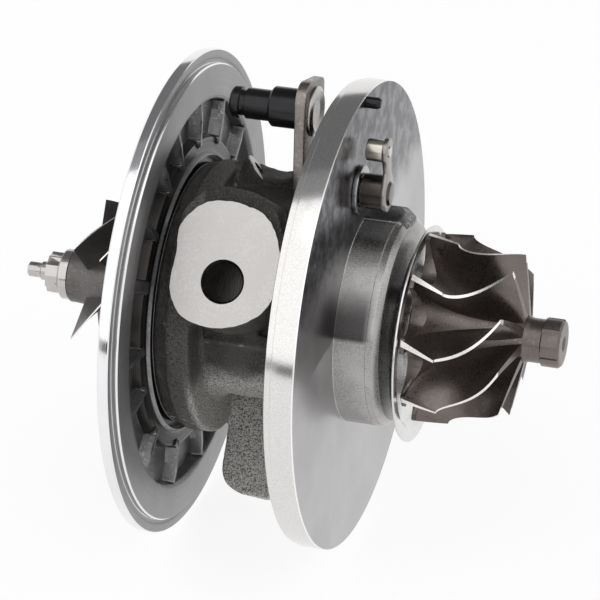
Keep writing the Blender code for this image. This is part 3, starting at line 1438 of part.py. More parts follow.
def actuator_pin():
    """The riveted pin that the actuator's rod clips to."""
    head = LEVER_X + SEAT_GAP
    base = LEVER_X - LEVER_THICKNESS - SEAT_GAP
    shoulder = base - PIN_BASE_LENGTH
    groove = shoulder - PIN_LENGTH
    tip = groove - PIN_GROOVE_LENGTH
    end = tip - PIN_TIP_LENGTH
    profile = [
        (head + PIN_HEAD_HEIGHT - PIN_HEAD_DISH, 0.0),
        (head + PIN_HEAD_HEIGHT - PIN_HEAD_DISH, PIN_SHANK_RADIUS),
        (head + PIN_HEAD_HEIGHT, PIN_HEAD_RADIUS - 2 * PIN_HEAD_DISH),
        (head + PIN_HEAD_DISH, PIN_HEAD_RADIUS),
        (head, PIN_HEAD_RADIUS),
        (head, PIN_SHANK_RADIUS),
        (base, PIN_SHANK_RADIUS),
        (base, PIN_BASE_RADIUS),
        (shoulder + PIN_TIP_CHAMFER, PIN_BASE_RADIUS),
        (shoulder, PIN_BASE_RADIUS - PIN_TIP_CHAMFER),
        (shoulder, PIN_RADIUS),
        (groove, PIN_RADIUS),
        (groove, PIN_GROOVE_RADIUS),
        (tip, PIN_GROOVE_RADIUS),
        (tip, PIN_TIP_RADIUS),
        (end + PIN_TIP_CHAMFER, PIN_TIP_RADIUS),
        (end, PIN_TIP_RADIUS - PIN_TIP_CHAMFER),
        (end, 0.0),
    ]
    centre = across(LEVER_LEAN) @ Vector((0.0, LEVER_PIN_REACH, 0.0))
    place_at = (centre.y, centre.z)
    pin = turned("actuator_pin", profile, BORE_STEPS, parent=LEVER_AXIS, centre=place_at)
    return finish(pin, BLACK_STEEL)


def waisted_outline(first_radius, second_radius, reach, waist, steps=CURVE_STEPS):
    """Two discs, the second this far along +Y, joined by a neck this wide to each side."""
    neck = (reach + first_radius - second_radius) / 2
    outline = []
    for centre_y, radius, start, end, side in (
        (reach, second_radius, -NECK_ANGLE, math.pi + NECK_ANGLE, -1),
        (0.0, first_radius, math.pi - NECK_ANGLE, 2 * math.pi + NECK_ANGLE, 1),
    ):
        for step in range(steps + 1):
            turn = start + (end - start) * step / steps
            outline.append((radius * math.cos(turn), centre_y + radius * math.sin(turn)))
        outline.append((side * waist, neck))
    return outline


def crank_arm():
    """The small crank in front of the flange, with its hub and the hole for its pin."""
    back = CRANK_FRONT_X - CRANK_THICKNESS
    frame = across(CRANK_LEAN)
    outline = waisted_outline(CRANK_HUB_RADIUS, CRANK_TIP_RADIUS, CRANK_REACH, CRANK_WAIST)
    arm = extruded("crank_arm", outline, back, CRANK_FRONT_X, frame, helper=False, parent=LEVER_AXIS)
    hub_end = 2 * SEAT_GAP + LEVER_BUSH_COLLAR_THICKNESS
    hub_radius = CRANK_HUB_RADIUS - SEAT_GAP
    start = (hub_end, 0.0, 0.0)
    hub = rod("crank hub", start, (back + OVERLAP, 0, 0), hub_radius, parent=LEVER_AXIS)
    bore_start = (hub_end - OVERLAP, 0.0, 0.0)
    bore_end = (CRANK_FRONT_X + OVERLAP, 0.0, 0.0)
    bore_radius = LEVER_SHAFT_RADIUS + SEAT_GAP
    bore = rod("crank bore", bore_start, bore_end, bore_radius, parent=LEVER_AXIS)
    tip = frame @ Vector((0.0, CRANK_REACH, 0.0))
    low = tip + Vector((back - OVERLAP, 0.0, 0.0))
    high = tip + Vector((CRANK_FRONT_X + OVERLAP, 0.0, 0.0))
    pin_hole = CRANK_PIN_SHANK_RADIUS + SEAT_GAP
    hole = rod("crank pin hole", low, high, pin_hole, steps=SMALL_STEPS, parent=LEVER_AXIS)
    boolean(arm, "UNION", [hub])
    boolean(arm, "DIFFERENCE", [bore, hole])
    return finish(arm, STEEL)


def crank_pin():
    """The pin that drives the vane ring, riveted through the crank's tip."""
    seat = CRANK_FRONT_X - CRANK_THICKNESS - SEAT_GAP
    head = CRANK_FRONT_X + CRANK_PIN_PROUD
    end = seat - CRANK_PIN_LENGTH
    profile = [
        (head, 0.0),
        (head, CRANK_PIN_SHANK_RADIUS),
        (seat, CRANK_PIN_SHANK_RADIUS),
        (seat, CRANK_PIN_RADIUS),
        (end + SEAT_GAP, CRANK_PIN_RADIUS),
        (end, CRANK_PIN_RADIUS - SEAT_GAP),
        (end, 0.0),
    ]
    centre = across(CRANK_LEAN) @ Vector((0.0, CRANK_REACH, 0.0))
    place_at = (centre.y, centre.z)
    pin = turned("crank_pin", profile, SMALL_STEPS, parent=LEVER_AXIS, centre=place_at)
    return finish(pin, STEEL)


clear_scene()
PARTS = new_collection("turbo_cartridge")
HELPERS = new_collection("cutters")
HELPERS.hide_render = True

CAST_IRON = new_material("cast iron", (0.13, 0.12, 0.11), 0.75, 0.4)
CAST_ALLOY = new_material("cast alloy", (0.22, 0.19, 0.17), 0.5, 0.9)
MACHINED_ALUMINIUM = new_material("machined aluminium", (0.68, 0.68, 0.69), 0.3, 1.0)
STEEL = new_material("steel", (0.55, 0.54, 0.52), 0.25, 1.0)
BLACK_STEEL = new_material("blackened steel", (0.03, 0.03, 0.03), 0.4, 0.6)
BRONZE = new_material("bronze", (0.55, 0.36, 0.14), 0.35, 1.0)
RUBBER = new_material("rubber", (0.02, 0.02, 0.02), 0.8, 0.0)

SHAFT_AXIS = new_empty("shaft axis", (SHAFT_X, 0.0, SHAFT_HEIGHT))
LEVER_AXIS = new_empty("lever axis", (0.0, PIVOT_Y, PIVOT_Z), SHAFT_AXIS)

bearing_housing()
heat_shield()
turbine_wheel()
rotor_shaft()
thrust_collar()
seal_sleeve()
compressor_wheel()
shaft_nut()
seal_rings()
circlips()
journal_bush("journal_bearing_turbine", TURBINE_BUSH_X)
journal_bush("journal_bearing_compressor", COMPRESSOR_BUSH_X)
bearing_spacer()
thrust_bearing()
oil_deflector()
compressor_backplate()
backplate_bolts()
backplate_o_ring()
lever_bush()
locating_dowel()
lever_shaft()
actuator_lever()
actuator_pin()
crank_arm()
crank_pin()
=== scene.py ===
"""Studio picture of a turbo cartridge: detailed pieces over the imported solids, in metres."""

import json
import math

import bmesh
import bpy
from mathutils import Matrix, Vector, noise

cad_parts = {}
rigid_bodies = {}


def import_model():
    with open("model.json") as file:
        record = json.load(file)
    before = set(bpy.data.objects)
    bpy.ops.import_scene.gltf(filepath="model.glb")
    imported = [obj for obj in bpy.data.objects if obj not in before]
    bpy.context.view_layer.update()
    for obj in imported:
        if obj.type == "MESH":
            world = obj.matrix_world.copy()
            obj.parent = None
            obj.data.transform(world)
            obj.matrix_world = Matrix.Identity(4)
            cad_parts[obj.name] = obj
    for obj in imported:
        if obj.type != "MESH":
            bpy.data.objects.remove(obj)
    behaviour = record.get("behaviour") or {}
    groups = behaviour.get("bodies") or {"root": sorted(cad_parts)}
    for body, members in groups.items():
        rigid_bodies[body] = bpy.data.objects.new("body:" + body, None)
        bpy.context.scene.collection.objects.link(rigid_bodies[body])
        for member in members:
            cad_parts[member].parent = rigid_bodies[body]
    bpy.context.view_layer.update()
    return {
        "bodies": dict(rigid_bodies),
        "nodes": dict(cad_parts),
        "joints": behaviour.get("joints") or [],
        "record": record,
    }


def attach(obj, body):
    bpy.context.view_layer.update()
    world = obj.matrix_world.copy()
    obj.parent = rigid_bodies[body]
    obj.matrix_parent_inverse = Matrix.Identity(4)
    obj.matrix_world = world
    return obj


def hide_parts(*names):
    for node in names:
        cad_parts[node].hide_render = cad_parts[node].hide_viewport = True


for startup in list(bpy.data.objects):
    bpy.data.objects.remove(startup, do_unlink=True)

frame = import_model()

# Where the shaft lies in the model's frame
SHAFT = Vector((0.01919, 0.0, 0.062774))

# Steps round the turned pieces
DISC_STEPS = 288
BODY_STEPS = 192
SMALL_STEPS = 64

# Gaps between pieces, and the overlap of shapes that are joined
SEAT_GAP = 0.0003
OVERLAP = 0.0010

# Turbine flange and nose
FLANGE_RADIUS = 0.0600
FLANGE_THICKNESS = 0.00755
FLANGE_STEP_WIDTH = 0.0017
FLANGE_STEP_DEPTH = 0.0005
NOSE_RADIUS = 0.0270
NOSE_BAND = 0.0082
NOSE_STEP_DEPTH = 0.0004
NOSE_LENGTH = 0.0113
NOSE_FACE_RADIUS = 0.0252
SEAL_BOSS_RADIUS = 0.0091
SEAL_BORE = 0.0075
BOSS_END_X = 0.0144
KEY_Y = 0.0050
KEY_WIDTH = 0.0090
KEY_TOP = 0.0276
KEY_DEPTH = 0.0060
KEY_END_X = 0.0090
KEY_SLOPE = 0.0024
KEY_START_X = -0.001
KEY_EDGE = 0.0005
FLANGE_EDGE = 0.00035

# Cast body between the flanges
SEAT_X = -0.0442
SEAT_RADIUS = 0.0340
COMPRESSOR_FLANGE_X = -0.0348
COMPRESSOR_FLANGE_BACK_X = -0.0410
COMPRESSOR_FLANGE_RADIUS = 0.0350
CORE_RADIUS = 0.0278
CORE_RISE = 0.0034
CORE_FILLET = 0.0040
CORE_BACK_FILLET = 0.0025
CORE_SINK = 0.0002
CORE_CAP = 0.0005

# How far the cast shapes sink into the flange, and the stock left on milled faces
FLANGE_SINK = 0.0004
PAD_STOCK = 0.0006
DRAIN_STOCK = 0.0004
LUG_STOCK = 0.0003
MILL_START_X = -0.060
MILL_SIDE = 0.040
MILL_HEIGHT = 0.01

# Oil inlet pad and its port
OIL_ANGLE = math.radians(147.0)
OIL_PORT_X = -0.0256
OIL_PAD_HEIGHT = 0.0417
OIL_PAD_ROOT = 0.0180
OIL_PORT_RADIUS = 0.00485
OIL_PORT_DEPTH = 0.0120
OIL_PORT_CHAMFER = 0.0009
OIL_PORT_TAPER = 0.98
OIL_PAD_OUTLINE = (
    (-0.0131, -0.0034), (-0.0128, 0.0049), (-0.0130, 0.0121), (-0.0088, 0.0178),
    (-0.0025, 0.0199), (0.0068, 0.0182), (0.0119, 0.0122), (0.0142, 0.0020),
    (0.0110, -0.0064), (0.0025, -0.0112), (-0.0080, -0.0102),
)
PAD_LEDGE_RISE = 0.0030
PAD_LEDGE_SIZE = 1.03
PAD_LEDGE_DROP = 0.0009
PAD_RIB_WIDTH = 0.0035
PAD_RIB_DROP = 0.0122
PAD_RIB_HEIGHT = 0.0268
PAD_RIB_END_X = -0.0330

# Oil drain boss
DRAIN_HEIGHT = 0.0340
DRAIN_ROOT = 0.0155
DRAIN_LEFT = -0.0350
DRAIN_LOW = 0.0492
DRAIN_HIGH = -0.0200
DRAIN_CORNER = 0.0075
DRAIN_PORT_X = -0.0198
DRAIN_PORT_RADIUS = 0.0080
DRAIN_PORT_DEPTH = 0.0240
DRAIN_BOLT_SPACING = 0.0440
DRAIN_BOLT_RADIUS = 0.0034
DRAIN_BOLT_DEPTH = 0.0110

# Cast lug beside the compressor flange
LUG_RADIUS = 0.0060
LUG_FACE = (-0.0300, 0.0315, 0.0090)
LUG_LENGTH = 0.0090
LUG_TILT = math.radians(42.0)
LUG_PORT_RADIUS = 0.0033
LUG_PORT_DEPTH = 0.0050
LUG_RING_DEPTH = 0.0008
LUG_RING_PROUD = 0.0004
LUG_RING_BORE_REACH = 0.003

# Cast web between the lug and the turbine flange, as (x, z) along its top
SADDLE_TOP = (
    (-0.0310, 0.0335), (-0.0280, 0.0326), (-0.0245, 0.0320),
    (-0.0212, 0.0329), (-0.0190, 0.0345), (-0.0066, 0.0345),
)
SADDLE_LOW = 0.0200
SADDLE_NEAR = 0.0050
SADDLE_FAR = 0.0120

# The cast skin: its mesh, and the scale and height of its waves
SKIN_VOXEL = 0.00045
SKIN_SMOOTHING = 14
SKIN_WAVES = ((160.0, 0.00022), (620.0, 0.00012))

# Compressor backplate
PLATE_FACE_X = -0.0445
PLATE_RADIUS = 0.06276
RIM_FRONT_X = -0.04572
RIM_BACK_X = -0.04868
SHOULDER_RADIUS = 0.0593
POCKET_INNER_RADIUS = 0.0400
POCKET_OUTER_RADIUS = 0.0505
POCKET_DEPTH = 0.0034
INNER_LAND_START = 0.0356
INNER_LAND_DROP = 0.0010
WHEEL_RECESS_RADIUS = 0.0295
WHEEL_RECESS_DEPTH = 0.0003
RIB_OVERHANG = 0.0016
# The ribs' angles in degrees, and the ribs that are thicker than the rest
RIB_THICKNESS = 0.0018
THICKER_RIBS = {134.0: 0.0020, 152.7: 0.0034, 176.5: 0.0020}
RIB_ANGLES = (8.0, 34.5, 58.5, 81.0, 101.0, 115.0, 134.0, 152.7)
RIB_ANGLES += (176.5, 193.0, 219.0, 248.0, 274.0, 297.0, 320.0, 343.0)
POCKET_STEPS = 900
POCKET_ROWS = 56
PLATE_BORE = 0.0086
PLATE_LIP = 0.0004
PLATE_GROOVE = 0.0009
PLATE_SEAT_DEPTH = 0.0018
POCKET_SLOPE = 0.0010
LAND_SLOPE = 0.0008
RIB_SLOPE = 0.0007
RIB_CORE_SHARE = 0.36
RIB_END_SLOPE = 0.0006
RIB_CREST = 0.0002
RIB_CREST_FALL = 0.0003
RIB_CREST_START = 0.0460
RIB_CREST_RUN = 0.0040
POCKET_CUT_MARGIN = 0.0006
POCKET_CUT_SPARE = 0.0008
POCKET_RING_MARGIN = 0.0007
POCKET_RING_SPARE = 0.0009
PLATE_RIM_CHAMFER = 0.0003
PLATE_BACK_CHAMFER = 0.0005
SPIGOT_X = -0.0415
SPIGOT_RADIUS = 0.0159

# Turbine wheel
TURBINE_BACK_X = 0.0162
TURBINE_BLADES = 9
TURBINE_RADIUS = 0.0244
TURBINE_DISC_RIM = 0.0011
TURBINE_INLET_WIDTH = 0.0087
TURBINE_OUTLET_RADIUS = 0.0209
TURBINE_TIP_LENGTH = 0.0235
TURBINE_ROOT_LENGTH = 0.0268
TURBINE_END_X = 0.0522
TURBINE_HUB_RADIUS = 0.0060
TURBINE_NECK_RADIUS = 0.0056
TURBINE_COLLAR_RADIUS = 0.0062
TURBINE_COLLAR_LENGTH = 0.0047
TURBINE_NOTCHES = 6
TURBINE_NOTCH_DEPTH = 0.0004
TURBINE_NOTCH_WIDTH = 0.0019
TURBINE_NOTCH_PHASE = math.radians(-22.0)
TURBINE_TIP_THICKNESS = 0.00065
TURBINE_ROOT_THICKNESS = 0.0017
TURBINE_ROOT_FLARE = 0.0012
TURBINE_FLARE_SPAN = 0.22
TURBINE_END_CHAMFER = 0.0006
TURBINE_CENTRE_RADIUS = 0.0020
TURBINE_PHASE = math.radians(84.4)
TURBINE_LEAN = math.radians(8.2)
TURBINE_WRAP = math.radians(30.0)
TURBINE_HUB_WRAP = math.radians(27.0)
TURBINE_WRAP_POWER = 3.5
SCALLOP_DEPTH = 0.0085
SCALLOP_WIDTH = 0.0128
WELD_X = 0.0125
SEAL_HUB_RADIUS = 0.0069

# Compressor wheel
COMPRESSOR_BACK_X = -0.04928
COMPRESSOR_BLADES = 5
COMPRESSOR_RADIUS = 0.0280
COMPRESSOR_NOSE_X = -0.07778
COMPRESSOR_DISC_RIM = 0.0012
COMPRESSOR_NOSE_RADIUS = 0.0070
COMPRESSOR_EYE_RADIUS = 0.0205
COMPRESSOR_EYE_SETBACK = 0.0054
COMPRESSOR_OUTLET_WIDTH = 0.0048
COMPRESSOR_SPLITTER_START = 0.30
COMPRESSOR_TIP_THICKNESS = 0.0006
COMPRESSOR_ROOT_THICKNESS = 0.0012
COMPRESSOR_PHASE = math.radians(61.2)
COMPRESSOR_WRAP = math.radians(60.0)
COMPRESSOR_WRAP_POWER = 1.9
RIM_STEP = 0.0002

# Nut and the shaft's end
NUT_X = -0.07808
NUT_FLANGE_RADIUS = 0.0066
NUT_FLANGE_LENGTH = 0.0030
NUT_END_X = -0.08448
NUT_RADIUS = 0.0055
NUT_ROOT_SHARE = 0.9
NUT_LOBES = 12
NUT_FLANGE_LIP = 0.0008
NUT_FLANGE_SLOPE = 0.0012
THREAD_END_X = -0.08708
SHAFT_END_X = -0.09058
STUD_RADIUS = 0.0025
STUB_RADIUS = 0.0020
THREAD_PITCH = 0.0005
THREAD_DEPTH = 0.00025
THREAD_CLEARANCE = 0.0001

# Heat shield
SHIELD_FRONT_X = 0.0159
SHIELD_RADIUS = 0.0277
SHIELD_THICKNESS = 0.0008
SHIELD_DISH = 0.0018
SHIELD_DISH_RADIUS = 0.0228
SHIELD_BORE = 0.0121
SHIELD_SAG = 0.0027

# Lever, its shaft and the actuator's pin
PIVOT = Vector((0.0, -0.0052, 0.0377))
LEVER_X = -0.01185
LEVER_THICKNESS = 0.0026
LEVER_HALF_WIDTH = 0.00845
LEVER_PIN_REACH = 0.0190
LEVER_TOP = 0.0284
LEVER_TOP_FALL = 0.0030
LEVER_LEAN = math.radians(-4.8)
LEVER_NEAR_CORNER = 0.0050
LEVER_FAR_CORNER = 0.0022
LEVER_RELIEF_RADIUS = 0.00965
LEVER_SHAFT_RADIUS = 0.0031
LEVER_SHAFT_PROUD = 0.0006
LEVER_SHAFT_CHAMFER = 0.0005
LEVER_RELIEF_GAP = 0.0012
BUSH_BORE = 0.00325
BUSH_RADIUS = 0.00485
BUSH_COLLAR_RADIUS = 0.0062
BUSH_COLLAR_THICKNESS = 0.0010
BUSH_PROUD = 0.0040
PIN_SHANK_RADIUS = 0.0030
PIN_HEAD_RADIUS = 0.0063
PIN_HEAD_HEIGHT = 0.0012
PIN_HEAD_DISH = 0.0006
PIN_BASE_RADIUS = 0.00505
PIN_BASE_LENGTH = 0.0082
PIN_RADIUS = 0.0039
PIN_LENGTH = 0.0064
PIN_GROOVE_RADIUS = 0.00325
PIN_GROOVE_LENGTH = 0.0014
PIN_TIP_RADIUS = 0.0040
PIN_TIP_LENGTH = 0.0024
PIN_TIP_CHAMFER = 0.0006

# Crank in front of the flange
CRANK_BACK_X = 0.0068
CRANK_FRONT_X = 0.0080
CRANK_HUB_RADIUS = 0.0047
CRANK_HUB_START_X = 0.0016
CRANK_TIP_RADIUS = 0.0034
CRANK_WAIST = 0.0018
NECK_ANGLE = math.radians(42.0)
CRANK_REACH = 0.0115
CRANK_LEAN = math.radians(2.0)
CRANK_PIN_RADIUS = 0.0028
CRANK_PIN_SHANK_RADIUS = 0.0014
CRANK_PIN_LENGTH = 0.0042
CRANK_PIN_PROUD = 0.0003

# Dowel at the rim of the turbine flange
DOWEL_RADIUS = 0.0015
DOWEL_CIRCLE = 0.0584
DOWEL_ANGLE = math.radians(88.3)
DOWEL_PROUD = 0.0038
DOWEL_DEPTH = 0.0035
DOWEL_CHAMFER = (0.0007, 0.0005)

ALONG = Vector((1.0, 0.0, 0.0))

# The studio
WORLD_LIGHT = 0.55
FLAG_DISTANCE = 1.3
FLAG_REACH = 1.2
LAMP_TARGET = Vector((0.0, 0.0, 0.06))
FLOOR_RADIUS = 0.9
FLOOR_DROP = 0.0006

# The camera: its place from the middle of the flange, and where it looks
CAMERA_PLACE = Vector((0.19822, -0.69289, 0.37446))
CAMERA_HEADING = math.radians(17.23)
CAMERA_PITCH = math.radians(27.18)
CAMERA_LENS = 192.0


# ---- geometry helpers


def outward(angle, x=0.0):
    """The frame whose Z points out at this angle from +Y, with X along the shaft."""
    out = Vector((0.0, math.cos(angle), math.sin(angle)))
    side = out.cross(ALONG)
    turn = Matrix((ALONG, side, out)).transposed().to_4x4()
    return Matrix.Translation((x, 0.0, 0.0)) @ turn


def around(radius, angle, x=0.0):
    """The point at this radius and angle round the shaft."""
    return Vector((x, radius * math.cos(angle), radius * math.sin(angle)))


def across(turn=0.0):
    """The frame whose Z runs along the shaft, with X towards +Y and Y up before it is turned."""
    axes = Matrix(((0, 0, 1), (1, 0, 0), (0, 1, 0))).to_4x4()
    return axes @ Matrix.Rotation(turn, 4, "Z")


def quarter(start, end, steps=28, flat_at_start=True):
    """Points on a quarter ellipse of (x, radius), level with the shaft at one end."""
    points = []
    for step in range(steps + 1):
        turn = math.pi / 2 * step / steps
        along, out = (math.sin(turn), 1 - math.cos(turn))
        if not flat_at_start:
            along, out = (1 - math.cos(turn), math.sin(turn))
        x = start[0] + (end[0] - start[0]) * along
        points.append((x, start[1] + (end[1] - start[1]) * out))
    return points


def stairs(*values):
    """A profile whose edges run along and across in turn, from x, radius, x, radius and so on."""
    pairs = zip(values, values[1:])
    return [pair if i % 2 == 0 else pair[::-1] for i, pair in enumerate(pairs)]


def along_line(points, share):
    """The point at this share of a list of points, counted by index."""
    place = share * (len(points) - 1)
    i = min(int(place), len(points) - 2)
    part = place - i
    (x0, r0), (x1, r1) = points[i], points[i + 1]
    return x0 + (x1 - x0) * part, r0 + (r1 - r0) * part


def softened(profile, radius, segments=3):
    """The profile of (x, radius, surface) with its sharp corners rounded."""
    count = len(profile)
    open_ended = profile[0][1] == 0.0
    soft = []
    for i, (x, r, surface) in enumerate(profile):
        if open_ended and i in (0, count - 1):
            soft.append((x, r, surface))
            continue
        here = Vector((x, r))
        before = Vector(profile[i - 1][:2]) - here
        after = Vector(profile[(i + 1) % count][:2]) - here
        bend = math.pi - before.angle(after)
        if bend < math.radians(12):
            soft.append((x, r, surface))
            continue
        reach = min(radius * math.tan(bend / 2), 0.4 * before.length, 0.4 * after.length)
        start = here + before.normalized() * reach
        end = here + after.normalized() * reach
        for step in range(segments + 1):
            t = step / segments
            point = start * (1 - t) ** 2 + here * 2 * t * (1 - t) + end * t**2
            last = surface if step == segments else profile[i - 1][2]
            soft.append((point.x, point.y, last))
    return soft


def lathed(profile, steps, edge=0.0002, centre=(0.0, 0.0)):
    """A closed mesh turned about X from (x, radius[, surface]) points, with rounded corners."""
    profile = [point if len(point) == 3 else (*point, 0) for point in profile]
    if edge:
        profile = softened(profile, edge)
    bm = bmesh.new()
    rings = []
    for x, r, _ in profile:
        if r < 1e-7:
            rings.append([bm.verts.new((x, *centre))])
            continue
        ring = []
        for i in range(steps):
            turn = 2 * math.pi * i / steps
            y = centre[0] + r * math.cos(turn)
            ring.append(bm.verts.new((x, y, centre[1] + r * math.sin(turn))))
        rings.append(ring)
    count = len(profile) if profile[0][1] > 0 else len(profile) - 1
    for i in range(count):
        first, second = rings[i], rings[(i + 1) % len(rings)]
        for j in range(steps):
            corners = [first[j % len(first)], first[(j + 1) % len(first)]]
            corners += [second[(j + 1) % len(second)], second[j % len(second)]]
            corners = list(dict.fromkeys(corners))
            if len(corners) > 2:
                bm.faces.new(corners).material_index = profile[i][2]
    bmesh.ops.recalc_face_normals(bm, faces=bm.faces)
    return bm


def rod(start, end, radius, steps=SMALL_STEPS):
    """A cylinder between two points."""
    start = Vector(start)
    end = Vector(end)
    along = end - start
    turn = along.to_track_quat("Z", "Y").to_matrix().to_4x4()
    bm = bmesh.new()
    bmesh.ops.create_cone(
        bm,
        cap_ends=True,
        segments=steps,
        radius1=radius,
        radius2=radius,
        depth=along.length,
        matrix=Matrix.Translation((start + end) / 2) @ turn,
    )
    return bm


def block(low, high, matrix=None):
    """A box between two corners, in the frame that the matrix gives."""
    low = Vector(low)
    high = Vector(high)
    size = Matrix.Diagonal((*(high - low), 1.0))
    bm = bmesh.new()
    bmesh.ops.create_cube(bm, size=1.0, matrix=Matrix.Translation((low + high) / 2) @ size)
    if matrix is not None:
        bm.transform(matrix)
    return bm


def prism(outline, low, high, matrix):
    """A flat outline of (x, y) thickened from low to high along its own Z."""
    bm = bmesh.new()
    bottom = [bm.verts.new((x, y, low)) for x, y in outline]
    top = [bm.verts.new((x, y, high)) for x, y in outline]
    count = len(outline)
    for i in range(count):
        j = (i + 1) % count
        bm.faces.new((bottom[i], bottom[j], top[j], top[i]))
    bm.faces.new(top)
    bm.faces.new(bottom[::-1])
    bm.transform(matrix)
    bmesh.ops.recalc_face_normals(bm, faces=bm.faces)
    return bm


def rounded(corners, segments=10):
    """A closed outline from (x, y, radius) corners, with each corner an arc."""
    outline = []
    count = len(corners)
    for i, (x, y, radius) in enumerate(corners):
        here = Vector((x, y))
        before = Vector(corners[i - 1][:2]) - here
        after = Vector(corners[(i + 1) % count][:2]) - here
        if radius <= 0.0:
            outline.append((x, y))
            continue
        before.normalize()
        after.normalize()
        half = before.angle(after) / 2
        reach = radius / math.tan(half)
        centre = here + (before + after).normalized() * (radius / math.sin(half))
        start = here + before * reach - centre
        end = here + after * reach - centre
        turn = start.angle_signed(end)
        for step in range(segments + 1):
            spoke = start.copy()
            spoke.rotate(Matrix.Rotation(-turn * step / segments, 2))
            outline.append(tuple(centre + spoke))
    return outline


def smooth_outline(points, steps=8):
    """A closed curve through the points."""
    count = len(points)
    outline = []
    for i in range(count):
        p = [Vector(points[(i + k - 1) % count]) for k in range(4)]
        for step in range(steps):
            t = step / steps
            a = 2 * p[1]
            b = (p[2] - p[0]) * t
            c = (2 * p[0] - 5 * p[1] + 4 * p[2] - p[3]) * t**2
            d = (3 * p[1] - p[0] - 3 * p[2] + p[3]) * t**3
            outline.append(tuple((a + b + c + d) / 2))
    return outline


def mesh_object(name, bm):
    mesh = bpy.data.meshes.new(name)
    bm.to_mesh(mesh)
    bm.free()
    obj = bpy.data.objects.new(name, mesh)
    bpy.context.scene.collection.objects.link(obj)
    return obj


def merged(*shapes):
    """One bmesh that holds all the shapes."""
    whole = bmesh.new()
    for bm in shapes:
        mesh = bpy.data.meshes.new("part")
        bm.to_mesh(mesh)
        bm.free()
        whole.from_mesh(mesh)
        bpy.data.meshes.remove(mesh)
    return whole


def settled(obj):
    """Applies the object's modifiers."""
    graph = bpy.context.evaluated_depsgraph_get()
    mesh = bpy.data.meshes.new_from_object(obj.evaluated_get(graph))
    old = obj.data
    obj.modifiers.clear()
    obj.data = mesh
    bpy.data.meshes.remove(old)
    return obj


def boolean(obj, operation, shapes):
    """Joins or cuts the object with each shape. A shape may bring the material of its cut faces."""
    for shape in shapes:
        bm, *material = shape if isinstance(shape, tuple) else (shape,)
        other = clad("cutter", bm, *material)
        modifier = obj.modifiers.new("Boolean", "BOOLEAN")
        modifier.operation = operation
        modifier.solver = "EXACT"
        modifier.material_mode = "TRANSFER" if material else "INDEX"
        modifier.object = other
        settled(obj)
        bpy.data.objects.remove(other, do_unlink=True)
    return obj


def edge_bevel(obj, width, segments=2, angle=math.radians(38)):
    """Rounds the sharp edges of a shape that isn't turned."""
    modifier = obj.modifiers.new("Edges", "BEVEL")
    modifier.width = width
    modifier.segments = segments
    modifier.limit_method = "ANGLE"
    modifier.angle_limit = angle
    return settled(obj)


def bevelled(bm, width, segments=2):
    """The shape with its sharp edges rounded."""
    obj = edge_bevel(mesh_object("shape", bm), width, segments)
    soft = bmesh.new()
    soft.from_mesh(obj.data)
    bpy.data.objects.remove(obj, do_unlink=True)
    bmesh.ops.recalc_face_normals(soft, faces=soft.faces)
    return soft


def clad(name, bm, *materials):
    """An object of this shape with these materials."""
    obj = mesh_object(name, bm)
    for material in materials:
        obj.data.materials.append(material)
    return obj


def dress(obj, body, slot, materials=(), angle=math.radians(32), replaces=()):
    """Puts a finished piece on the shaft, shades it and lets it ride on its body."""
    for material in materials:
        obj.data.materials.append(material)
    obj.data.shade_smooth()
    obj.data.set_sharp_from_angle(angle=angle)
    obj.location = SHAFT
    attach(obj, body)
    if replaces:
        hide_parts(*replaces)
    return obj


def turned_piece(name, profile, steps, edge, wearing, centre=(0.0, 0.0), **dressing):
    """A piece turned on a lathe, dressed with its body and materials; the slot it is given is not
    used.
    """
    return dress(mesh_object(name, lathed(profile, steps, edge, centre)), *wearing, **dressing)


# ---- materials


def node_group(name, inputs, outputs):
    """An empty group with float sockets, and its input and output nodes."""
    group = bpy.data.node_groups.new(name, "ShaderNodeTree")
    for label, default in inputs:
        socket = group.interface.new_socket(label, in_out="INPUT", socket_type="NodeSocketFloat")
        socket.default_value = default
    for label in outputs:
        group.interface.new_socket(label, in_out="OUTPUT", socket_type="NodeSocketFloat")
    return group, group.nodes.new("NodeGroupInput"), group.nodes.new("NodeGroupOutput")


def math_node(group, operation, first, second=None):
    node = group.nodes.new("ShaderNodeMath")
    node.operation = operation
    for socket, value in zip(node.inputs, (first, second)):
        if value is None:
            continue
        if isinstance(value, (int, float)):
            socket.default_value = value
        else:
            group.links.new(value, socket)
    return node.outputs[0]


def noise_node(group, vector, scale, detail=2.0, roughness=0.5):
    node = group.nodes.new("ShaderNodeTexNoise")
    group.links.new(vector, node.inputs["Vector"])
    for label, value in (("Scale", scale), ("Detail", detail), ("Roughness", roughness)):
        if isinstance(value, (int, float)):
            node.inputs[label].default_value = value
        else:
            group.links.new(value, node.inputs[label])
    return node.outputs["Fac"]


def stepped(group, value, low, high):
    """The value spread from 0 at low to 1 at high."""
    node = group.nodes.new("ShaderNodeMapRange")
    node.interpolation_type = "SMOOTHSTEP"
    group.links.new(value, node.inputs["Value"])
    for label, limit in (("From Min", low), ("From Max", high)):
        if isinstance(limit, (int, float)):
            node.inputs[label].default_value = limit
        else:
            group.links.new(limit, node.inputs[label])
    return node.outputs["Result"]


def grain_group(name, noises, outputs):
    """Noise at several scales: its height, and masks of it spread between two limits."""
    scales = [(label, scale) for label, scale, _, _ in noises]
    group, given, out = node_group(name, scales, ("Height", *(row[0] for row in outputs)))
    place = group.nodes.new("ShaderNodeTexCoord").outputs["Object"]
    layers = [
        noise_node(group, place, given.outputs[label], detail, roughness)
        for label, _, detail, roughness in noises
    ]
    group.links.new(layers[0], out.inputs["Height"])
    for label, layer, low, high in outputs:
        group.links.new(stepped(group, layers[layer], low, high), out.inputs[label])
    return group


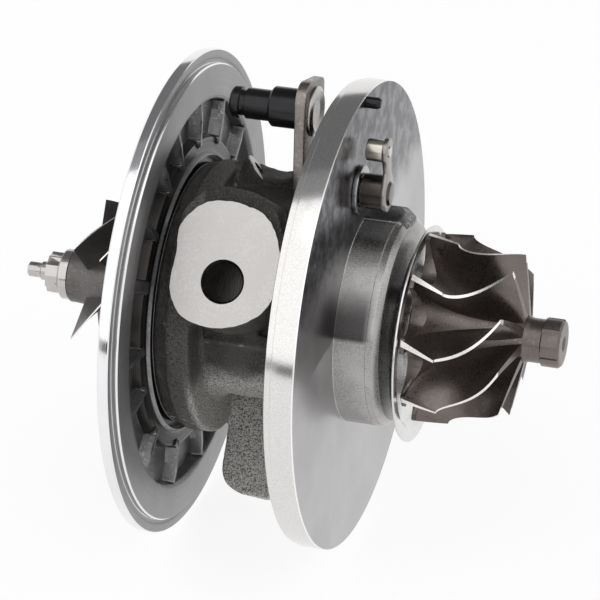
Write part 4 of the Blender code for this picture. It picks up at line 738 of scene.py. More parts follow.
def turning_group():
    """Marks that a lathe leaves: rings that follow the radius and the length."""
    group, given, out = node_group(
        "turning marks",
        (("Ring Scale", 9000.0), ("Cloud Scale", 60.0)),
        ("Height", "Streak", "Cloud"),
    )
    place = group.nodes.new("ShaderNodeTexCoord").outputs["Object"]
    split = group.nodes.new("ShaderNodeSeparateXYZ")
    group.links.new(place, split.inputs[0])
    square_y = math_node(group, "POWER", math_node(group, "ABSOLUTE", split.outputs["Y"]), 2.0)
    square_z = math_node(group, "POWER", math_node(group, "ABSOLUTE", split.outputs["Z"]), 2.0)
    radius = math_node(group, "SQRT", math_node(group, "ADD", square_y, square_z))
    run = group.nodes.new("ShaderNodeCombineXYZ")
    for place_in_run, length in enumerate((radius, split.outputs["X"])):
        scaled = math_node(group, "MULTIPLY", length, given.outputs["Ring Scale"])
        group.links.new(scaled, run.inputs[place_in_run])
    rings = noise_node(group, run.outputs[0], 1.0, 2.0, 0.6)
    cloud = noise_node(group, place, given.outputs["Cloud Scale"], 3.0, 0.6)
    group.links.new(rings, out.inputs["Height"])
    group.links.new(stepped(group, rings, 0.35, 0.65), out.inputs["Streak"])
    group.links.new(stepped(group, cloud, 0.35, 0.65), out.inputs["Cloud"])
    return group


def edge_group():
    """A mask that is 1 on edges that stand proud and 0 elsewhere."""
    group, given, out = node_group("worn edges", (("Low", 0.52), ("High", 0.60)), ("Mask",))
    pointed = group.nodes.new("ShaderNodeNewGeometry").outputs["Pointiness"]
    mask = stepped(group, pointed, given.outputs["Low"], given.outputs["High"])
    group.links.new(mask, out.inputs["Mask"])
    return group


def zone_group():
    """A mask of a box in the shaft's frame, with ragged soft sides in Y and Z."""
    limits = ("X Low", "X High", "Y Low", "Y High", "Z Low", "Z High")
    sockets = [(label, -1.0 if "Low" in label else 1.0) for label in limits]
    sockets += [("X Soft", 0.0004), ("Y Soft", 0.004), ("Z Soft", 0.004), ("Z Fade", 0.004)]
    sockets.append(("Ragged", 0.002))
    group, given, out = node_group("zone", sockets, ("Mask",))
    place = group.nodes.new("ShaderNodeTexCoord").outputs["Object"]
    ragged = noise_node(group, place, 160.0, 3.0, 0.6)
    ragged = math_node(group, "SUBTRACT", ragged, 0.5)
    shift = math_node(group, "MULTIPLY", ragged, given.outputs["Ragged"])
    split = group.nodes.new("ShaderNodeSeparateXYZ")
    group.links.new(place, split.inputs[0])
    mask = None
    for axis in "XYZ":
        at = split.outputs[axis]
        if axis != "X":
            at = math_node(group, "ADD", at, shift)
        low = given.outputs[f"{axis} Low"]
        high = given.outputs[f"{axis} High"]
        soft = given.outputs[f"{axis} Soft"]
        rise = stepped(group, at, low, math_node(group, "ADD", low, soft))
        fade = given.outputs["Z Fade"] if axis == "Z" else soft
        fall = stepped(group, at, math_node(group, "SUBTRACT", high, fade), high)
        inside = math_node(group, "SUBTRACT", rise, fall)
        mask = inside if mask is None else math_node(group, "MULTIPLY", mask, inside)
    group.links.new(mask, out.inputs["Mask"])
    return group


# Sand-cast skin: fine pits and lumps, with larger patches
CAST_GRAIN = grain_group(
    "cast grain",
    (("Grain Scale", 1600.0, 3.0, 0.6), ("Patch Scale", 120.0, 3.0, 0.55)),
    (("Speckle", 0, 0.50, 0.68), ("Pits", 0, 0.36, 0.58), ("Patch", 1, 0.35, 0.65)),
)
# A fine blasted grain with smudges
BLASTED = grain_group(
    "blasted grain",
    (("Grain Scale", 3800.0, 2.0, 0.5), ("Smudge Scale", 70.0, 4.0, 0.65)),
    (("Grain", 0, 0.35, 0.65), ("Smudge", 1, 0.38, 0.66)),
)
TURNING = turning_group()
WORN_EDGES = edge_group()
ZONE = zone_group()


def mixed_colour(tree, factor, first, second):
    """A colour that goes from the first to the second with the factor."""
    node = tree.nodes.new("ShaderNodeMix")
    node.data_type = "RGBA"
    tree.links.new(factor, node.inputs["Factor"])
    sockets = [socket for socket in node.inputs if socket.type == "RGBA"]
    for socket, value in zip(sockets, (first, second)):
        if isinstance(value, tuple):
            socket.default_value = (*value, 1.0)
        else:
            tree.links.new(value, socket)
    return next(socket for socket in node.outputs if socket.type == "RGBA")


class Finish:
    """A material under way: its shader and the helpers that link to it."""

    def __init__(self, name, roughness, metallic):
        self.material = bpy.data.materials.new(name)
        self.material.use_nodes = True
        self.tree = self.material.node_tree
        self.shader = self.tree.nodes["Principled BSDF"]
        self.shader.inputs["Roughness"].default_value = roughness
        self.shader.inputs["Metallic"].default_value = metallic

    def group(self, group, **values):
        node = self.tree.nodes.new("ShaderNodeGroup")
        node.node_tree = group
        for label, value in values.items():
            node.inputs[label.replace("_", " ")].default_value = value
        return node.outputs

    def mixed(self, factor, first, second):
        return mixed_colour(self.tree, factor, first, second)

    def between(self, factor, low, high):
        """A value that goes from low to high with the factor."""
        node = self.tree.nodes.new("ShaderNodeMapRange")
        self.tree.links.new(factor, node.inputs["Value"])
        node.inputs["To Min"].default_value = low
        node.inputs["To Max"].default_value = high
        return node.outputs["Result"]

    def colour(self, value):
        self.tree.links.new(value, self.shader.inputs["Base Color"])

    def roughness(self, value):
        self.tree.links.new(value, self.shader.inputs["Roughness"])

    def bump(self, height, distance, strength=1.0):
        node = self.tree.nodes.new("ShaderNodeBump")
        node.inputs["Distance"].default_value = distance
        node.inputs["Strength"].default_value = strength
        self.tree.links.new(height, node.inputs["Height"])
        self.tree.links.new(node.outputs["Normal"], self.shader.inputs["Normal"])


def cast_finish(name, dark, light, speckle, roughness, metallic, depth, grain=1600.0):
    finish = Finish(name, roughness, metallic)
    cast = finish.group(CAST_GRAIN, Grain_Scale=grain)
    worn = finish.group(WORN_EDGES)
    base = finish.mixed(cast["Patch"], dark, light)
    base = finish.mixed(cast["Speckle"], base, speckle)
    finish.colour(finish.mixed(worn["Mask"], base, speckle))
    finish.roughness(finish.between(cast["Speckle"], roughness, roughness - 0.15))
    finish.bump(cast["Height"], depth)
    return finish.material


def turned_finish(name, dark, light, roughness, metallic, depth, rings=9000.0):
    finish = Finish(name, roughness, metallic)
    marks = finish.group(TURNING, Ring_Scale=rings)
    base = finish.mixed(marks["Cloud"], dark, light)
    finish.colour(finish.mixed(marks["Streak"], base, light))
    finish.roughness(finish.between(marks["Streak"], roughness - 0.05, roughness + 0.08))
    finish.bump(marks["Height"], depth)
    return finish.material


def sand_cast_iron():
    """The housing's skin: darkened with painted shade on the core between the flanges, sandy grey
    on the drain leg.
    """
    finish = Finish("cast iron", 0.5, 0.2)
    cast = finish.group(CAST_GRAIN, Grain_Scale=2500.0, Patch_Scale=110.0)
    fine = finish.group(BLASTED, Grain_Scale=2600.0, Smudge_Scale=90.0)
    worn = finish.group(WORN_EDGES)
    leg = finish.group(
        ZONE, X_Low=-0.0372, X_High=0.010, Z_Low=-0.070, Z_High=-0.005,
        X_Soft=0.0022, Z_Soft=0.012, Z_Fade=0.009, Ragged=0.006,
    )
    collar = finish.group(ZONE, X_Low=-0.0420, X_High=-0.0335, Ragged=0.0)
    # Painted shade: these dark tones stand in for the shade on the core between the flanges, a
    # little lighter on the compressor flange's collar.
    deep = finish.mixed(cast["Patch"], (0.024, 0.021, 0.019), (0.070, 0.063, 0.057))
    deep = finish.mixed(cast["Speckle"], deep, (0.12, 0.11, 0.10))
    collar_painted_shade = finish.mixed(cast["Pits"], (0.045, 0.041, 0.038), (0.155, 0.147, 0.142))
    deep = finish.mixed(collar["Mask"], deep, collar_painted_shade)
    sandy = finish.mixed(cast["Pits"], (0.10, 0.095, 0.09), (0.68, 0.66, 0.635))
    # The drain leg keeps the sandy grey; everywhere else takes the painted shade.
    base = finish.mixed(leg["Mask"], deep, sandy)
    finish.colour(finish.mixed(worn["Mask"], base, (0.34, 0.325, 0.31)))
    finish.roughness(finish.between(fine["Grain"], 0.40, 0.60))
    finish.bump(cast["Height"], 0.00045)
    return finish.material


# The flange's face, as limits along the shaft
FACE_BAND = {"X_Low": -0.0006, "X_High": 0.002}


def flange_painted_reflections():
    """Turned steel with painted dark reflections at the top of its face and beside the nose, and a
    painted highlight along the rim's front edge.
    """
    finish = Finish("turned flange", 0.2, 1.0)
    marks = finish.group(TURNING, Ring_Scale=7000.0, Cloud_Scale=45.0)
    grain = finish.group(BLASTED, Grain_Scale=2200.0, Smudge_Scale=110.0)
    mottle = finish.group(BLASTED, Grain_Scale=2200.0, Smudge_Scale=210.0)
    face = finish.group(ZONE, **FACE_BAND)
    # Painted highlight along the rim's front edge.
    rim_painted_highlight = finish.group(ZONE, X_Low=-0.0005, X_High=-0.00002, X_Soft=0.00008)
    # Painted dark reflections: a mottled band on the top of the face, and a band on the face beside
    # the nose.
    top = finish.group(ZONE, **FACE_BAND, Z_Low=0.018, Z_High=0.090, Z_Soft=0.014, Ragged=0.014)
    nose_side_painted_reflection = finish.group(
        ZONE, **FACE_BAND, Y_Low=-0.048, Y_High=-0.020, Z_Low=0.0055, Z_High=0.0260,
        Y_Soft=0.010, Z_Soft=0.0012, Z_Fade=0.014, Ragged=0.001,
    )
    rim = finish.mixed(grain["Grain"], (0.68, 0.67, 0.655), (0.74, 0.73, 0.715))
    turned = finish.mixed(marks["Cloud"], (0.40, 0.39, 0.395), (0.45, 0.44, 0.445))
    top_painted_reflection = finish.mixed(mottle["Smudge"], (0.045, 0.043, 0.052), (0.20, 0.195, 0.205))
    turned = finish.mixed(top["Mask"], turned, top_painted_reflection)
    turned = finish.mixed(nose_side_painted_reflection["Mask"], turned, (0.20, 0.195, 0.195))
    turned = finish.mixed(rim_painted_highlight["Mask"], turned, (0.95, 0.94, 0.94))
    finish.colour(finish.mixed(face["Mask"], rim, turned))
    finish.roughness(finish.between(face["Mask"], 0.14, 0.28))
    finish.bump(marks["Height"], 0.000010)
    return finish.material


def blasted_nose():
    """The nose's blasted band, with a painted dark reflection on its upper near side."""
    finish = Finish("blasted nose", 0.28, 1.0)
    grain = finish.group(BLASTED, Grain_Scale=4200.0, Smudge_Scale=160.0)
    # Painted dark reflection on the upper near side of the nose band.
    nose_painted_reflection = finish.group(
        ZONE, X_Low=-0.0040, X_High=0.0100, Y_Low=-0.040, Y_High=-0.010, Z_Low=0.0058,
        Z_High=0.0230, X_Soft=0.0030, Y_Soft=0.006, Z_Soft=0.0014, Z_Fade=0.0120, Ragged=0.001,
    )
    base = finish.mixed(grain["Smudge"], (0.29, 0.28, 0.275), (0.40, 0.39, 0.38))
    base = finish.mixed(grain["Grain"], base, (0.46, 0.45, 0.44))
    finish.colour(finish.mixed(nose_painted_reflection["Mask"], base, (0.065, 0.062, 0.062)))
    finish.roughness(finish.between(grain["Grain"], 0.24, 0.34))
    finish.bump(grain["Height"], 0.00002)
    return finish.material


def milled_iron():
    """The pad's milled face, warm and nearly white, with faint marks of the cutter."""
    finish = Finish("milled iron", 0.42, 0.3)
    grain = finish.group(BLASTED, Grain_Scale=1500.0, Smudge_Scale=130.0)
    base = finish.mixed(grain["Smudge"], (0.74, 0.715, 0.695), (0.80, 0.775, 0.755))
    finish.colour(finish.mixed(grain["Grain"], base, (0.72, 0.695, 0.675)))
    finish.bump(grain["Height"], 0.00001)
    return finish.material


CAST_IRON = sand_cast_iron()
MILLED_IRON = milled_iron()
FLANGE_STEEL = flange_painted_reflections()
NOSE_STEEL = blasted_nose()

# Dark, light and speckle colour, roughness, metallic value, depth and scale of the grain
KEY_STEEL = cast_finish(
    "key steel", (0.10, 0.10, 0.105), (0.17, 0.17, 0.175), (0.30, 0.30, 0.30),
    0.35, 1.0, 0.00004, 900.0,
)
CAST_ALLOY = cast_finish(
    "cast plate", (0.15, 0.15, 0.155), (0.23, 0.23, 0.235), (0.26, 0.26, 0.265),
    0.40, 0.85, 0.00006, 1400.0,
)
TURBINE_CAST = cast_finish(
    "turbine casting", (0.150, 0.128, 0.119), (0.185, 0.161, 0.151), (0.172, 0.149, 0.139),
    0.36, 0.9, 0.000012, 1300.0,
)
WHEEL_ALLOY = cast_finish(
    "wheel alloy", (0.125, 0.118, 0.114), (0.16, 0.151, 0.146), (0.175, 0.166, 0.16),
    0.5, 0.8, 0.00001, 1300.0,
)
LEVER_STEEL = cast_finish(
    "lever steel", (0.17, 0.145, 0.13), (0.27, 0.245, 0.23), (0.31, 0.285, 0.27),
    0.36, 0.95, 0.00004, 1200.0,
)
RUBBER = cast_finish(
    "rubber", (0.012, 0.012, 0.012), (0.02, 0.02, 0.02), (0.03, 0.03, 0.03),
    0.6, 0.0, 0.00003,
)

# Dark and light colour, roughness, metallic value and depth of the turning marks
# Near-black painted shade for the insides of holes and the shadowed faces round the backplate's
# seat and inner land.
PAINTED_RECESS_SHADE = turned_finish(
    "painted recess shade", (0.016, 0.015, 0.014), (0.040, 0.037, 0.034),
    0.25, 0.8, 0.00004, 3000.0,
)
PLATE_ALLOY = turned_finish(
    "turned plate", (0.30, 0.297, 0.30), (0.36, 0.356, 0.36),
    0.42, 0.85, 0.00001,
)
RIM_ALLOY = turned_finish(
    "polished rim", (0.78, 0.78, 0.795), (0.84, 0.84, 0.85),
    0.10, 1.0, 0.000006,
)
GROUND_EDGE = turned_finish(
    "ground edge", (0.74, 0.71, 0.69), (0.90, 0.87, 0.85),
    0.30, 1.0, 0.00001,
)
BRIGHT_STEEL = turned_finish(
    "bright steel", (0.42, 0.405, 0.39), (0.56, 0.54, 0.525),
    0.16, 1.0, 0.00001,
)
SHIELD_STEEL = turned_finish(
    "shield steel", (0.62, 0.615, 0.61), (0.74, 0.735, 0.73),
    0.16, 1.0, 0.00001,
)
RIVET_STEEL = turned_finish(
    "rivet steel", (0.38, 0.37, 0.365), (0.50, 0.49, 0.485),
    0.2, 1.0, 0.00001,
)
BLACK_OXIDE = turned_finish(
    "black oxide", (0.010, 0.010, 0.011), (0.022, 0.022, 0.024),
    0.22, 0.6, 0.00001,
)
CRANK_STEEL = turned_finish(
    "crank steel", (0.030, 0.027, 0.024), (0.10, 0.09, 0.08),
    0.14, 1.0, 0.00001,
)
PIN_STEEL = turned_finish("pin steel", (0.42, 0.395, 0.35), (0.58, 0.55, 0.49), 0.16, 1.0, 0.00001)
ARM_STEEL = turned_finish("arm steel", (0.20, 0.185, 0.175), (0.34, 0.32, 0.31), 0.24, 1.0, 0.00001)
BUSH_STEEL = turned_finish(
    "bush steel", (0.22, 0.212, 0.205), (0.36, 0.35, 0.34),
    0.14, 1.0, 0.00001,
)
BRONZE = turned_finish("bronze", (0.40, 0.24, 0.09), (0.52, 0.33, 0.14), 0.32, 1.0, 0.00001)


# ---- housing


def turbine_flange():
    """The turned flange with its nose, seal boss and key."""
    step_x = FLANGE_STEP_WIDTH - FLANGE_THICKNESS
    step_radius = FLANGE_RADIUS - FLANGE_STEP_DEPTH
    nose_step = NOSE_RADIUS - NOSE_STEP_DEPTH
    profile = [
        (BOSS_END_X, SEAL_BORE, 1),
        (BOSS_END_X, SEAL_BOSS_RADIUS, 1),
        (NOSE_LENGTH, SEAL_BOSS_RADIUS, 1),
        (NOSE_LENGTH, NOSE_FACE_RADIUS, 1),
        (NOSE_LENGTH - (nose_step - NOSE_FACE_RADIUS), nose_step, 1),
        (NOSE_BAND, nose_step, 1),
        (NOSE_BAND, NOSE_RADIUS, 1),
        (0.0, NOSE_RADIUS, 0),
        (0.0, FLANGE_RADIUS, 0),
        (step_x, FLANGE_RADIUS, 0),
        (step_x, step_radius, 0),
        (-FLANGE_THICKNESS, step_radius, 0),
        (-FLANGE_THICKNESS, SEAL_BORE, 0),
    ]
    turned = lathed(profile, DISC_STEPS, edge=FLANGE_EDGE)
    flange = clad("turbine_flange", turned, FLANGE_STEEL, NOSE_STEEL)
    boolean(flange, "UNION", [(nose_key(), KEY_STEEL)])
    behind = PIVOT - ALONG * (FLANGE_THICKNESS + OVERLAP)
    hole = rod(behind, PIVOT + ALONG * OVERLAP, BUSH_RADIUS + SEAT_GAP)
    boolean(flange, "DIFFERENCE", [(hole, FLANGE_STEEL)])
    return dress(flange, "housing", "cast_iron_housing")


def nose_key():
    """The flat-topped key on the nose, with a sloped front."""
    top = KEY_TOP
    outline = [
        (KEY_START_X, top - KEY_DEPTH),
        (KEY_START_X, top),
        (KEY_END_X, top),
        (NOSE_LENGTH, top - KEY_SLOPE),
        (NOSE_LENGTH, top - KEY_DEPTH),
    ]
    axes = Matrix(((1, 0, 0, 0), (0, 0, 1, 0), (0, 1, 0, 0), (0, 0, 0, 1)))
    return bevelled(prism(outline, KEY_Y - KEY_WIDTH / 2, KEY_Y + KEY_WIDTH / 2, axes), KEY_EDGE, 3)


def cast_body():
    """The cast shapes between the flanges, before they melt into one skin."""
    oil = outward(OIL_ANGLE)
    front = CORE_SINK - FLANGE_THICKNESS
    back = COMPRESSOR_FLANGE_X
    core = [(front + CORE_CAP, 0.0), (front + CORE_CAP, CORE_RADIUS + CORE_FILLET)]
    for end, fillet, way in ((front, -CORE_FILLET, 1), (back, CORE_BACK_FILLET, -1)):
        for step in range(9)[::way]:
            turn = math.pi / 2 * step / 8
            radius = CORE_RADIUS + abs(fillet) * (1 - math.sin(turn))
            core.append((end + fillet * (1 - math.cos(turn)), radius))
    core += [(back - OVERLAP, CORE_RADIUS + CORE_BACK_FILLET), (back - OVERLAP, 0.0)]
    rise = oil @ Vector((0.0, CORE_RISE, 0.0))
    flange = [
        (COMPRESSOR_FLANGE_X, 0.0),
        (COMPRESSOR_FLANGE_X, COMPRESSOR_FLANGE_RADIUS - 0.0006),
        (COMPRESSOR_FLANGE_X - 0.0006, COMPRESSOR_FLANGE_RADIUS),
        (COMPRESSOR_FLANGE_BACK_X, COMPRESSOR_FLANGE_RADIUS),
        *stairs(COMPRESSOR_FLANGE_BACK_X, SEAT_RADIUS, SEAT_X, 0.0),
    ]
    pad = smooth_outline(OIL_PAD_OUTLINE)
    ledge = [(x * PAD_LEDGE_SIZE, y * PAD_LEDGE_SIZE + PAD_LEDGE_RISE) for x, y in pad]
    shapes = [
        lathed(core, BODY_STEPS, edge=0, centre=(rise.y, rise.z)),
        lathed(flange, BODY_STEPS, edge=0),
        prism(pad, OIL_PAD_ROOT, OIL_PAD_HEIGHT + PAD_STOCK, outward(OIL_ANGLE, OIL_PORT_X)),
        prism(ledge, OIL_PAD_ROOT, OIL_PAD_HEIGHT - PAD_LEDGE_DROP, outward(OIL_ANGLE, OIL_PORT_X)),
        block(
            (PAD_RIB_END_X, -PAD_RIB_DROP - PAD_RIB_WIDTH / 2, 0.0),
            (FLANGE_SINK - FLANGE_THICKNESS, -PAD_RIB_DROP + PAD_RIB_WIDTH / 2, PAD_RIB_HEIGHT),
            oil,
        ),
        prism(drain_outline(), -DRAIN_HEIGHT - DRAIN_STOCK, -DRAIN_ROOT, oil),
        lug_shape(),
        saddle(),
    ]
    return merged(*shapes)


def saddle():
    """The cast web that dips between the lug and the turbine flange."""
    outline = [(SADDLE_TOP[-1][0], SADDLE_LOW), *SADDLE_TOP[::-1], (SADDLE_TOP[0][0], SADDLE_LOW)]
    return prism(outline, -SADDLE_FAR, -SADDLE_NEAR, Matrix.Rotation(math.pi / 2, 4, "X"))


def drain_outline():
    right = FLANGE_SINK - FLANGE_THICKNESS
    return rounded([
        (DRAIN_LEFT, -DRAIN_LOW, DRAIN_CORNER),
        (right, -DRAIN_LOW, 0.0),
        (right, -DRAIN_HIGH, 0.0),
        (DRAIN_LEFT, -DRAIN_HIGH, DRAIN_CORNER),
    ])


def lug_axis():
    oil = outward(OIL_ANGLE)
    face = oil @ Vector(LUG_FACE)
    out = oil.to_3x3() @ Vector((math.cos(LUG_TILT), math.sin(LUG_TILT), 0.0))
    return face, out


def lug_shape():
    face, out = lug_axis()
    return rod(face - out * LUG_LENGTH, face + out * LUG_STOCK, LUG_RADIUS)


def bearing_housing():
    """The cast skin, remeshed so that its shapes melt together, then milled."""
    housing = mesh_object("bearing_housing_casting", cast_body())
    remesh = housing.modifiers.new("Skin", "REMESH")
    remesh.mode = "VOXEL"
    remesh.voxel_size = SKIN_VOXEL
    smooth = housing.modifiers.new("Melt", "SMOOTH")
    smooth.factor = 0.5
    smooth.iterations = SKIN_SMOOTHING
    settled(housing)
    roughen(housing)
    housing.data.materials.clear()
    housing.data.materials.append(CAST_IRON)
    boolean(housing, "DIFFERENCE", [(merged(*milled_faces()), MILLED_IRON)])
    # The holes' walls get the near-black painted shade of a recess.
    boolean(housing, "DIFFERENCE", [(merged(*drilled_holes()), PAINTED_RECESS_SHADE)])
    dress(housing, "housing", "cast_iron_housing", replaces=("bearing_housing",))
    for face in housing.data.polygons:
        if housing.data.materials[face.material_index] == MILLED_IRON:
            face.use_smooth = False
    return housing


def lug_face():
    """The machined ring at the lug's end."""
    face, out = lug_axis()
    disc = rod(face - out * LUG_RING_DEPTH, face + out * LUG_RING_PROUD, LUG_RADIUS - 0.0004)
    ring = mesh_object("lug_face_ring", disc)
    edge_bevel(ring, 0.0002)
    reach = out * LUG_RING_BORE_REACH
    boolean(ring, "DIFFERENCE", [rod(face - reach, face + reach, LUG_PORT_RADIUS)])
    return dress(ring, "housing", "cast_iron_housing", (MILLED_IRON,))


def roughen(obj):
    """Gives the skin the low waves of a sand casting."""
    mesh = obj.data
    normals = [vertex.normal.copy() for vertex in mesh.vertices]
    for vertex, normal in zip(mesh.vertices, normals):
        wave = sum(noise.noise(vertex.co * scale) * height for scale, height in SKIN_WAVES)
        vertex.co += normal * wave


def milled_faces():
    oil = outward(OIL_ANGLE)
    top = OIL_PAD_HEIGHT
    low = -DRAIN_HEIGHT
    return [
        block((MILL_START_X, -MILL_SIDE, top), (0.0, MILL_SIDE, top + MILL_HEIGHT), oil),
        block((MILL_START_X, -2 * MILL_SIDE, low - 2 * MILL_HEIGHT), (0.0, MILL_SIDE, low), oil),
    ]


def drilled_holes():
    oil = outward(OIL_ANGLE)
    port_floor = OIL_PAD_HEIGHT - OIL_PORT_DEPTH
    drain_y = -(DRAIN_LOW + DRAIN_HIGH) / 2
    face, out = lug_axis()

    def port(y, start, end, radius):
        ends = [oil @ Vector((DRAIN_PORT_X, y, height)) for height in (start, end)]
        return rod(*ends, radius)

    top = OIL_PAD_HEIGHT + OVERLAP
    inlet = [
        (port_floor, 0.0),
        (port_floor, OIL_PORT_RADIUS * OIL_PORT_TAPER),
        (OIL_PAD_HEIGHT - OIL_PORT_CHAMFER, OIL_PORT_RADIUS),
        (OIL_PAD_HEIGHT + 0.0001, OIL_PORT_RADIUS + OIL_PORT_CHAMFER * 0.8),
        (top, OIL_PORT_RADIUS + OIL_PORT_CHAMFER),
        (top, 0.0),
    ]
    upright = Matrix(((0, 0, -1), (0, 1, 0), (1, 0, 0))).to_4x4()
    hole = lathed(inlet, SMALL_STEPS, edge=0)
    hole.transform(oil @ Matrix.Translation((OIL_PORT_X, 0.0, 0.0)) @ upright)
    bmesh.ops.recalc_face_normals(hole, faces=hole.faces)
    low = -DRAIN_HEIGHT - OVERLAP
    half = DRAIN_BOLT_SPACING / 2
    return [
        hole,
        port(drain_y, low, DRAIN_PORT_DEPTH - DRAIN_HEIGHT, DRAIN_PORT_RADIUS),
        port(drain_y + half, low, DRAIN_BOLT_DEPTH - DRAIN_HEIGHT, DRAIN_BOLT_RADIUS),
        port(drain_y - half, low, DRAIN_BOLT_DEPTH - DRAIN_HEIGHT, DRAIN_BOLT_RADIUS),
        rod(face - out * LUG_PORT_DEPTH, face + out * OVERLAP, LUG_PORT_RADIUS),
        rod(
            PIVOT + ALONG * (LEVER_X - LEVER_THICKNESS - LEVER_RELIEF_GAP),
            PIVOT + ALONG * (0.0005 - FLANGE_THICKNESS),
            LEVER_RELIEF_RADIUS,
        ),
    ]


# ---- backplate


def compressor_backplate():
    """The turned plate, open where the cast ring of pockets sits."""
    lip = PLATE_LIP
    groove = PLATE_GROOVE
    seat_x = PLATE_FACE_X - PLATE_SEAT_DEPTH
    pocket_x = PLATE_FACE_X - POCKET_DEPTH - POCKET_CUT_SPARE
    profile = [
        (SPIGOT_X, SPIGOT_RADIUS, 0),
        (PLATE_FACE_X, SPIGOT_RADIUS, 0),
        # Surface 2: painted shade on the sunken seat round the casting.
        (PLATE_FACE_X, SEAT_RADIUS - lip, 2),
        (seat_x, SEAT_RADIUS - lip, 2),
        (seat_x, INNER_LAND_START + lip, 2),
        (pocket_x, INNER_LAND_START + lip, 2),
        (pocket_x, POCKET_OUTER_RADIUS + POCKET_CUT_MARGIN, 0),
        (PLATE_FACE_X, POCKET_OUTER_RADIUS + POCKET_CUT_MARGIN, 0),
        (PLATE_FACE_X, SHOULDER_RADIUS - lip, 1),
        (PLATE_FACE_X - lip, SHOULDER_RADIUS, 1),
        (RIM_FRONT_X - lip, SHOULDER_RADIUS - 0.0001, 0),
        (RIM_FRONT_X - lip, SHOULDER_RADIUS + groove, 0),
        (RIM_FRONT_X, SHOULDER_RADIUS + groove + lip, 0),
        (RIM_FRONT_X, PLATE_RADIUS - PLATE_RIM_CHAMFER, 1),
        (RIM_FRONT_X - PLATE_RIM_CHAMFER, PLATE_RADIUS, 1),
        (RIM_BACK_X + PLATE_BACK_CHAMFER, PLATE_RADIUS, 1),
        (RIM_BACK_X, PLATE_RADIUS - PLATE_BACK_CHAMFER, 0),
        (RIM_BACK_X, WHEEL_RECESS_RADIUS, 0),
        (RIM_BACK_X + WHEEL_RECESS_DEPTH, WHEEL_RECESS_RADIUS, 0),
        (RIM_BACK_X + WHEEL_RECESS_DEPTH, PLATE_BORE, 0),
        (SPIGOT_X, PLATE_BORE, 0),
    ]
    wearing = ("housing", "plate_aluminium", (PLATE_ALLOY, RIM_ALLOY, PAINTED_RECESS_SHADE))
    return turned_piece(
        "compressor_backplate_turned", profile, DISC_STEPS, 0.00012, wearing,
        replaces=("compressor_backplate",),
    )


def ease(value):
    value = min(max(value, 0.0), 1.0)
    return value * value * (3 - 2 * value)


def pocket_depth(angle, radius):
    """How far the cast front lies behind the plate's face."""
    rib = 0.0
    for degrees in RIB_ANGLES:
        thickness = THICKER_RIBS.get(degrees, RIB_THICKNESS)
        off = abs((angle - math.radians(degrees) + math.pi) % (2 * math.pi) - math.pi) * radius
        rib = max(rib, 1 - ease((off - thickness * RIB_CORE_SHARE) / RIB_SLOPE))
    wall_out = ease((POCKET_OUTER_RADIUS - radius) / POCKET_SLOPE)
    wall_in = ease((radius - POCKET_INNER_RADIUS) / POCKET_SLOPE)
    inner = INNER_LAND_DROP + (POCKET_DEPTH - INNER_LAND_DROP) * wall_in
    deep = min(POCKET_DEPTH * wall_out, inner) * ease((radius - INNER_LAND_START) / LAND_SLOPE)
    crest = RIB_CREST + RIB_CREST_FALL * ease((radius - RIB_CREST_START) / RIB_CREST_RUN)
    rib *= ease((radius - POCKET_INNER_RADIUS + RIB_OVERHANG) / RIB_END_SLOPE)
    return deep + (min(crest, deep) - deep) * rib


def pocket_ring():
    """The cast ring of pockets and ribs, as one closed piece."""
    steps = POCKET_STEPS
    inner = INNER_LAND_START
    outer = POCKET_OUTER_RADIUS + POCKET_RING_MARGIN
    back = PLATE_FACE_X - POCKET_DEPTH - POCKET_RING_SPARE
    bm = bmesh.new()
    rings = []
    for row in range(POCKET_ROWS + 1):
        radius = inner + (outer - inner) * row / POCKET_ROWS
        ring = []
        for i in range(steps):
            angle = 2 * math.pi * i / steps
            x = PLATE_FACE_X - 0.00002 - pocket_depth(angle, radius)
            ring.append(bm.verts.new(around(radius, angle, x)))
        rings.append(ring)
    for radius in (outer, inner):
        turns = (2 * math.pi * i / steps for i in range(steps))
        rings.append([bm.verts.new(around(radius, turn, back)) for turn in turns])
    for first, second in zip(rings, rings[1:] + rings[:1]):
        for i in range(steps):
            j = (i + 1) % steps
            bm.faces.new((first[i], first[j], second[j], second[i]))
    bmesh.ops.recalc_face_normals(bm, faces=bm.faces)
    # Sunken faces near the inner land get painted shade (surface 1).
    for face in bm.faces:
        middle = face.calc_center_median()
        low = middle.x < PLATE_FACE_X - 0.0008
        if low and math.hypot(middle.y, middle.z) < POCKET_INNER_RADIUS + 0.0008:
            face.material_index = 1
    ring = mesh_object("backplate_pockets", bm)
    materials = (CAST_ALLOY, PAINTED_RECESS_SHADE)
    return dress(ring, "housing", "plate_aluminium", materials, angle=math.radians(50))


# ---- wheels


